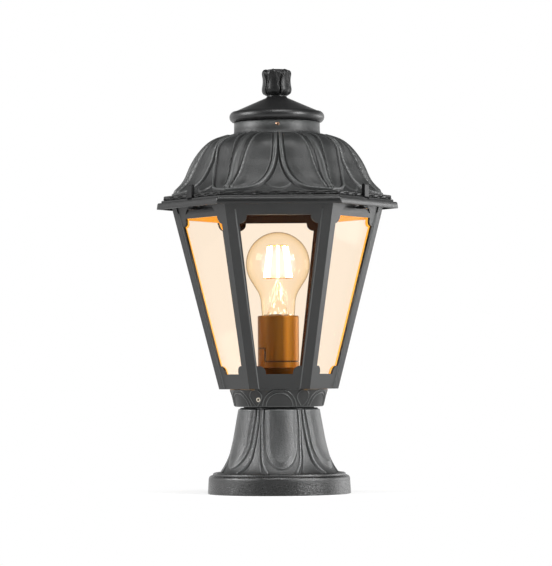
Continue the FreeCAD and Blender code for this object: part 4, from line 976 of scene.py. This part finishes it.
# Set screws of the collar: a bright rim around a socket painted dark as shade
setScrew = {
    "socket": (0.00085, 0.00125),
    "dark": colour(0.004, 0.003, 0.002),
    "bright": colour(0.82, 0.74, 0.62),
    "grain": 900.0,
    "roughness": 0.3,
    "sparkle": 0.2,
}


def socketScrew(name):
    board = newBoard(name)
    asides = []
    for degrees in collarHoles["angles"]:
        angle = math.radians(degrees)
        asides.append(abs(board.along((-math.sin(angle), math.cos(angle), 0.0))))
    aside = asides[0].least(asides[1]).least(asides[2])
    level = board.height() - collarHoles["level"] * mm
    # Painted shade: the socket in the middle is dark and not metallic, and bright metal is around it
    rim = ((aside * aside + level * level) ** 0.5).between(*setScrew["socket"])
    sparkle = board.noise(setScrew["grain"]).swing(setScrew["sparkle"])
    tint = board.blend(rim, setScrew["dark"], setScrew["bright"])
    return board.close(board.surface(
        Base_Color=tint, Roughness=setScrew["roughness"] + sparkle, Metallic=rim,
    ))


# Filaments: one bright glow, a little uneven
filament = {
    "core": colour(1.0, 0.93, 0.8),
    "tip": colour(1.0, 0.88, 0.66),
    "mottle": 400.0,
    "spread": (0.35, 0.65),
    "roughness": 0.6,
    "strength": 14.0,
}


def glowing(name, look):
    board = newBoard(name)
    tint = board.blend(board.noise(look["mottle"]).between(*look["spread"]), look["core"], look["tip"])
    return board.close(board.surface(
        Base_Color=look["tip"], Roughness=look["roughness"],
        Emission_Color=tint, Emission_Strength=look["strength"],
    ))


# Clear sheet and glass: tinted straight through, darker where the wall is seen edge on, bright at a glance
wallShine = {"roughness": 0.03, "ripple": 0.03, "depth": 0.00004, "curve": 5.0}


def clearWall(name, look):
    board = newBoard(name)
    facing = board.facing()
    ripple = board.noise(look["ripple"])
    side = board.mix(facing ** look["sideCurve"], board.clear(look["tint"]), board.clear(look["side"]))
    wall = board.mix(facing ** look["edgeCurve"], side, board.clear(look["edge"]))
    shine = board.surface(
        Base_Color=colour(1, 1, 1), Metallic=1.0,
        Roughness=wallShine["roughness"] + wallShine["ripple"] * ripple,
        Normal=board.bump(ripple, wallShine["depth"]),
    )
    # Painted glow: in the filaments' band of height the glass gives off light where it faces the viewer,
    # standing for the filaments' glare
    if "halo" in look:
        halo = look["halo"]
        height = board.height()
        band = height.between(*halo["foot"]) * (1.0 - height.between(*halo["head"]))
        near = halo["share"] * band * (1.0 - facing.between(*halo["spread"]))
        wall = board.mix(near, wall, board.light(halo["tint"], halo["strength"]))
    mirror = look["gloss"] + look["glance"] * facing ** wallShine["curve"]
    return board.close(board.mix(mirror, wall, shine))


pane = {
    "tint": colour(1.0, 0.958, 0.906), "side": colour(1.0, 0.955, 0.9), "edge": colour(1.0, 0.8, 0.42),
    "sideCurve": 1.0, "edgeCurve": 9.0, "gloss": 0.003, "glance": 0.2, "ripple": 30.0,
}
bulbGlass = {
    "tint": colour(1.0, 0.957, 0.89), "side": colour(1.0, 0.885, 0.66), "edge": colour(0.14, 0.04, 0.003),
    "sideCurve": 1.7, "edgeCurve": 6.0, "gloss": 0.02, "glance": 0.12, "ripple": 45.0,
    "halo": {
        "foot": (0.197, 0.208), "head": (0.224, 0.238), "spread": (0.02, 0.2), "share": 0.8,
        "tint": colour(1.0, 0.97, 0.9), "strength": 1.15,
    },
}
# The stem is clear, with streaks of the filaments' light, and brown where its glass is seen edge on
stem = {
    "clear": colour(1.0, 0.97, 0.92),
    "brown": colour(0.62, 0.36, 0.14),
    "edgeCurve": 4.0,
    "cream": colour(1.0, 0.96, 0.88),
    "folds": (360.0, 360.0, 30.0),
    "streak": (0.54, 0.62),
    "streakShare": 0.7,
    "roughness": 0.1,
    "glow": 1.0,
}


def litStem(name):
    board = newBoard(name)
    folds = board.noise(1.0, place=board.stretched(stem["folds"]))
    edgeOn = board.facing() ** stem["edgeCurve"]
    wall = board.mix(edgeOn, board.clear(stem["clear"]), board.clear(stem["brown"]))
    streak = board.surface(
        Base_Color=stem["cream"], Roughness=stem["roughness"],
        Emission_Color=stem["cream"], Emission_Strength=stem["glow"],
    )
    return board.close(board.mix(stem["streakShare"] * folds.between(*stem["streak"]), wall, streak))


finishes = {
    "anthracite_resin": mouldedResin("anthraciteResin", resin),
    "gloss_black": moulding(
        "glossBlack", colour(0.008, 0.008, 0.0085), colour(0.013, 0.013, 0.0135), 0.4, 500.0, 0.00003, 0.2,
    ),
    "black_rubber": moulding(
        "blackRubber", colour(0.018, 0.018, 0.018), colour(0.028, 0.028, 0.027), 0.75, 1300.0, 0.0001, 0.3,
    ),
    "ivory_plastic": moulding("ivoryPlastic", colour(0.76, 0.72, 0.62), colour(0.83, 0.8, 0.71), 0.42),
    "zinc_steel": metal("zincSteel", colour(0.74, 0.7, 0.64), colour(0.6, 0.55, 0.48), 0.26),
    "holder_brown": holderMetal("holderBrown"),
    "white_ceramic": moulding("whiteCeramic", colour(0.82, 0.8, 0.75), colour(0.88, 0.87, 0.83), 0.3, 300.0),
    "brass": metal("brass", colour(0.74, 0.54, 0.21), colour(0.6, 0.42, 0.15), 0.28),
    "filament": glowing("filament", filament),
    "nickel": metal("nickel", colour(0.74, 0.71, 0.66), colour(0.62, 0.58, 0.52), 0.24),
    "black_glass": moulding(
        "blackGlass", colour(0.012, 0.012, 0.013), colour(0.02, 0.02, 0.021), 0.15, 300.0,
    ),
    "brown_sleeve": moulding("brownSleeve", colour(0.15, 0.056, 0.02), colour(0.19, 0.075, 0.028), 0.5),
    "blue_sleeve": moulding("blueSleeve", colour(0.045, 0.14, 0.43), colour(0.06, 0.18, 0.5), 0.5),
    "amber_acrylic": clearWall("amberAcrylic", pane),
    "clear_glass": clearWall("clearGlass", bulbGlass),
}
ownFinishes = {
    "hood": mouldedResin("hoodResin", hoodResin),
    "pedestal": mouldedResin("sandedResin", sandedResin),
    "neck_collar": mouldedResin("collarResin", collarResin),
    "lantern_frame": frameResin("frameResin", resin),
    "cap": mouldedResin("polishedResin", polishedResin),
    "finial": mouldedResin("finialResin", finialResin),
    "bulb_stem": litStem("litStem"),
    "collar_screws": socketScrew("socketScrew"),
    "cap_screws": metal("copperScrew", colour(0.8, 0.5, 0.34), colour(0.6, 0.34, 0.2), 0.3),
    "bulb_wires": metal("warmWire", colour(0.6, 0.3, 0.09), colour(0.45, 0.2, 0.05), 0.35),
}
slots = {part["node"]: part["material_slot"] for part in frame["record"]["subparts"]}


def finishOf(name):
    return ownFinishes.get(name, finishes[slots[name]])


def paint(piece, finish):
    piece.data.materials.clear()
    piece.data.materials.append(finish)


for name, piece in nodes.items():
    paint(piece, finishOf(name))
standIns = {"hood": hood, "pedestal": pedestal, "neck_collar": collar, "finial": finial, "bulb_glass": bulb}
for name, piece in standIns.items():
    paint(piece, finishOf(name))
paint(jointShadeStrip, finishes["black_rubber"])
paint(fillets, mouldedResin("highlitEdgeResin", highlitEdgeResin))
print("finishes set:", len(finishes) + len(ownFinishes))

# Studio: white floor and backdrop, a darker room behind the camera, soft boxes at the sides and above
studio = {
    "aim": (0, 0, 0.2),
    "floorSize": 12.0,
    "floorTint": colour(0.9, 0.9, 0.9),
    "floorShade": {"share": 0.42, "reach": (0.075, 0.17), "glow": 1.0},
    "floorFront": (-0.5, -0.05),
    "keyBox": {"size": (0.45, 0.6), "place": (1.2, -0.85, 0.75), "power": 22.0},
    "fillBox": {"size": (0.8, 0.8), "place": (-1.45, -0.3, 0.9), "power": 24.0},
    "topBox": {"size": (0.9, 0.6), "place": (0.15, -0.8, 1.6), "power": 14.0},
    "backBox": {"size": (0.8, 0.5), "place": (1.3, 0.75, 0.25), "power": 5.0},
    "ambient": 0.3,
    "room": 0.1,
    "backdropFront": (-0.5, 0.2),
    "backdropTop": (0.2, 0.5),
    "lampGlow": {"power": 0.02, "radius": 0.011, "colour": (1.0, 0.62, 0.3)},
}


def softBox(name):
    box = studio[name]
    place = Vector(box["place"])
    bpy.ops.object.light_add(type="AREA", location=place)
    lamp = bpy.context.object
    lamp.name = name
    lamp.data.shape = "RECTANGLE"
    lamp.data.size, lamp.data.size_y = box["size"]
    lamp.data.energy = box["power"]
    lamp.rotation_euler = (Vector(studio["aim"]) - place).to_track_quat("-Z", "Y").to_euler()


def whiteFloor():
    bpy.ops.mesh.primitive_plane_add(size=studio["floorSize"], location=(0, 0, 0))
    floor = bpy.context.object
    floor.name = "studioFloor"
    board = newBoard("whiteFloor")
    behind = board.along((0.0, 1.0, 0.0)).between(*studio["floorFront"])
    seen = board.ray("Is Camera Ray").most(board.reflected() * behind)
    shade = studio["floorShade"]
    reach = board.make("ShaderNodeVectorMath", {"operation": "LENGTH", "output": "Value"}, board.place())
    bare = shade["share"] * (1.0 - reach.between(*shade["reach"]))
    white = board.light(colour(1, 1, 1), shade["glow"])
    lit = board.make("ShaderNodeBsdfDiffuse", {}, Color=studio["floorTint"])
    paint(floor, board.close(board.mix((1.0 - bare) * seen, lit, white)))


def whiteWorld():
    scene.world = bpy.data.worlds.new("studioWorld")
    board = Board(scene.world)
    way = board.make("ShaderNodeTexCoord", {"output": "Generated"})
    deep = board.make("ShaderNodeSeparateXYZ", {"output": "Y"}, way)
    high = board.make("ShaderNodeSeparateXYZ", {"output": "Z"}, way)
    behind = deep.between(*studio["backdropFront"])
    above = high.between(*studio["backdropTop"])
    mirrored = studio["room"] + (1.0 - studio["room"]) * behind * (1.0 - above)
    soft = studio["ambient"] + board.reflected() * (mirrored - studio["ambient"])
    strength = soft + board.ray("Is Camera Ray") * (1.0 - soft)
    light = board.make("ShaderNodeBackground", {}, Color=colour(1, 1, 1), Strength=strength)
    board.make("ShaderNodeOutputWorld", {}, light)


def lightBulb():
    glow = studio["lampGlow"]
    low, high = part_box("bulb_filaments")
    bpy.ops.object.light_add(type="POINT", location=(Vector(low) + Vector(high)) / 2)
    lamp = bpy.context.object
    lamp.name = "lampGlow"
    lamp.data.energy = glow["power"]
    lamp.data.shadow_soft_size = glow["radius"]
    lamp.data.color = glow["colour"]


whiteFloor()
whiteWorld()
for name in ("keyBox", "fillBox", "topBox", "backBox"):
    softBox(name)
lightBulb()
print("studio lit")

# Camera at the photo's angle: height and focal in pixels, sensor in millimetres, turns in radians, else metres
photo = {
    "height": 566,
    "sensor": 36.0,
    "focal": 3085.0,
    "distance": 2.9,
    "eye": 0.112,
    "turn": math.radians(0.86),
    "target": (-0.0019, 0.0, 0.1976),
    "roll": math.radians(-0.4),
}


def photoCamera():
    far, turn = photo["distance"], photo["turn"]
    eye = Vector((-far * math.sin(turn), -far * math.cos(turn), photo["eye"]))
    bpy.ops.object.camera_add(location=eye)
    camera = bpy.context.object
    camera.data.sensor_fit = "VERTICAL"
    camera.data.sensor_height = photo["sensor"]
    camera.data.lens = photo["focal"] / photo["height"] * photo["sensor"]
    camera.data.dof.use_dof = False
    look = (Vector(photo["target"]) - eye).to_track_quat("-Z", "Y").to_matrix().to_4x4()
    camera.matrix_world = Matrix.Translation(eye) @ look @ Matrix.Rotation(photo["roll"], 4, "Z")
    scene.camera = camera


photoCamera()
print("camera placed")
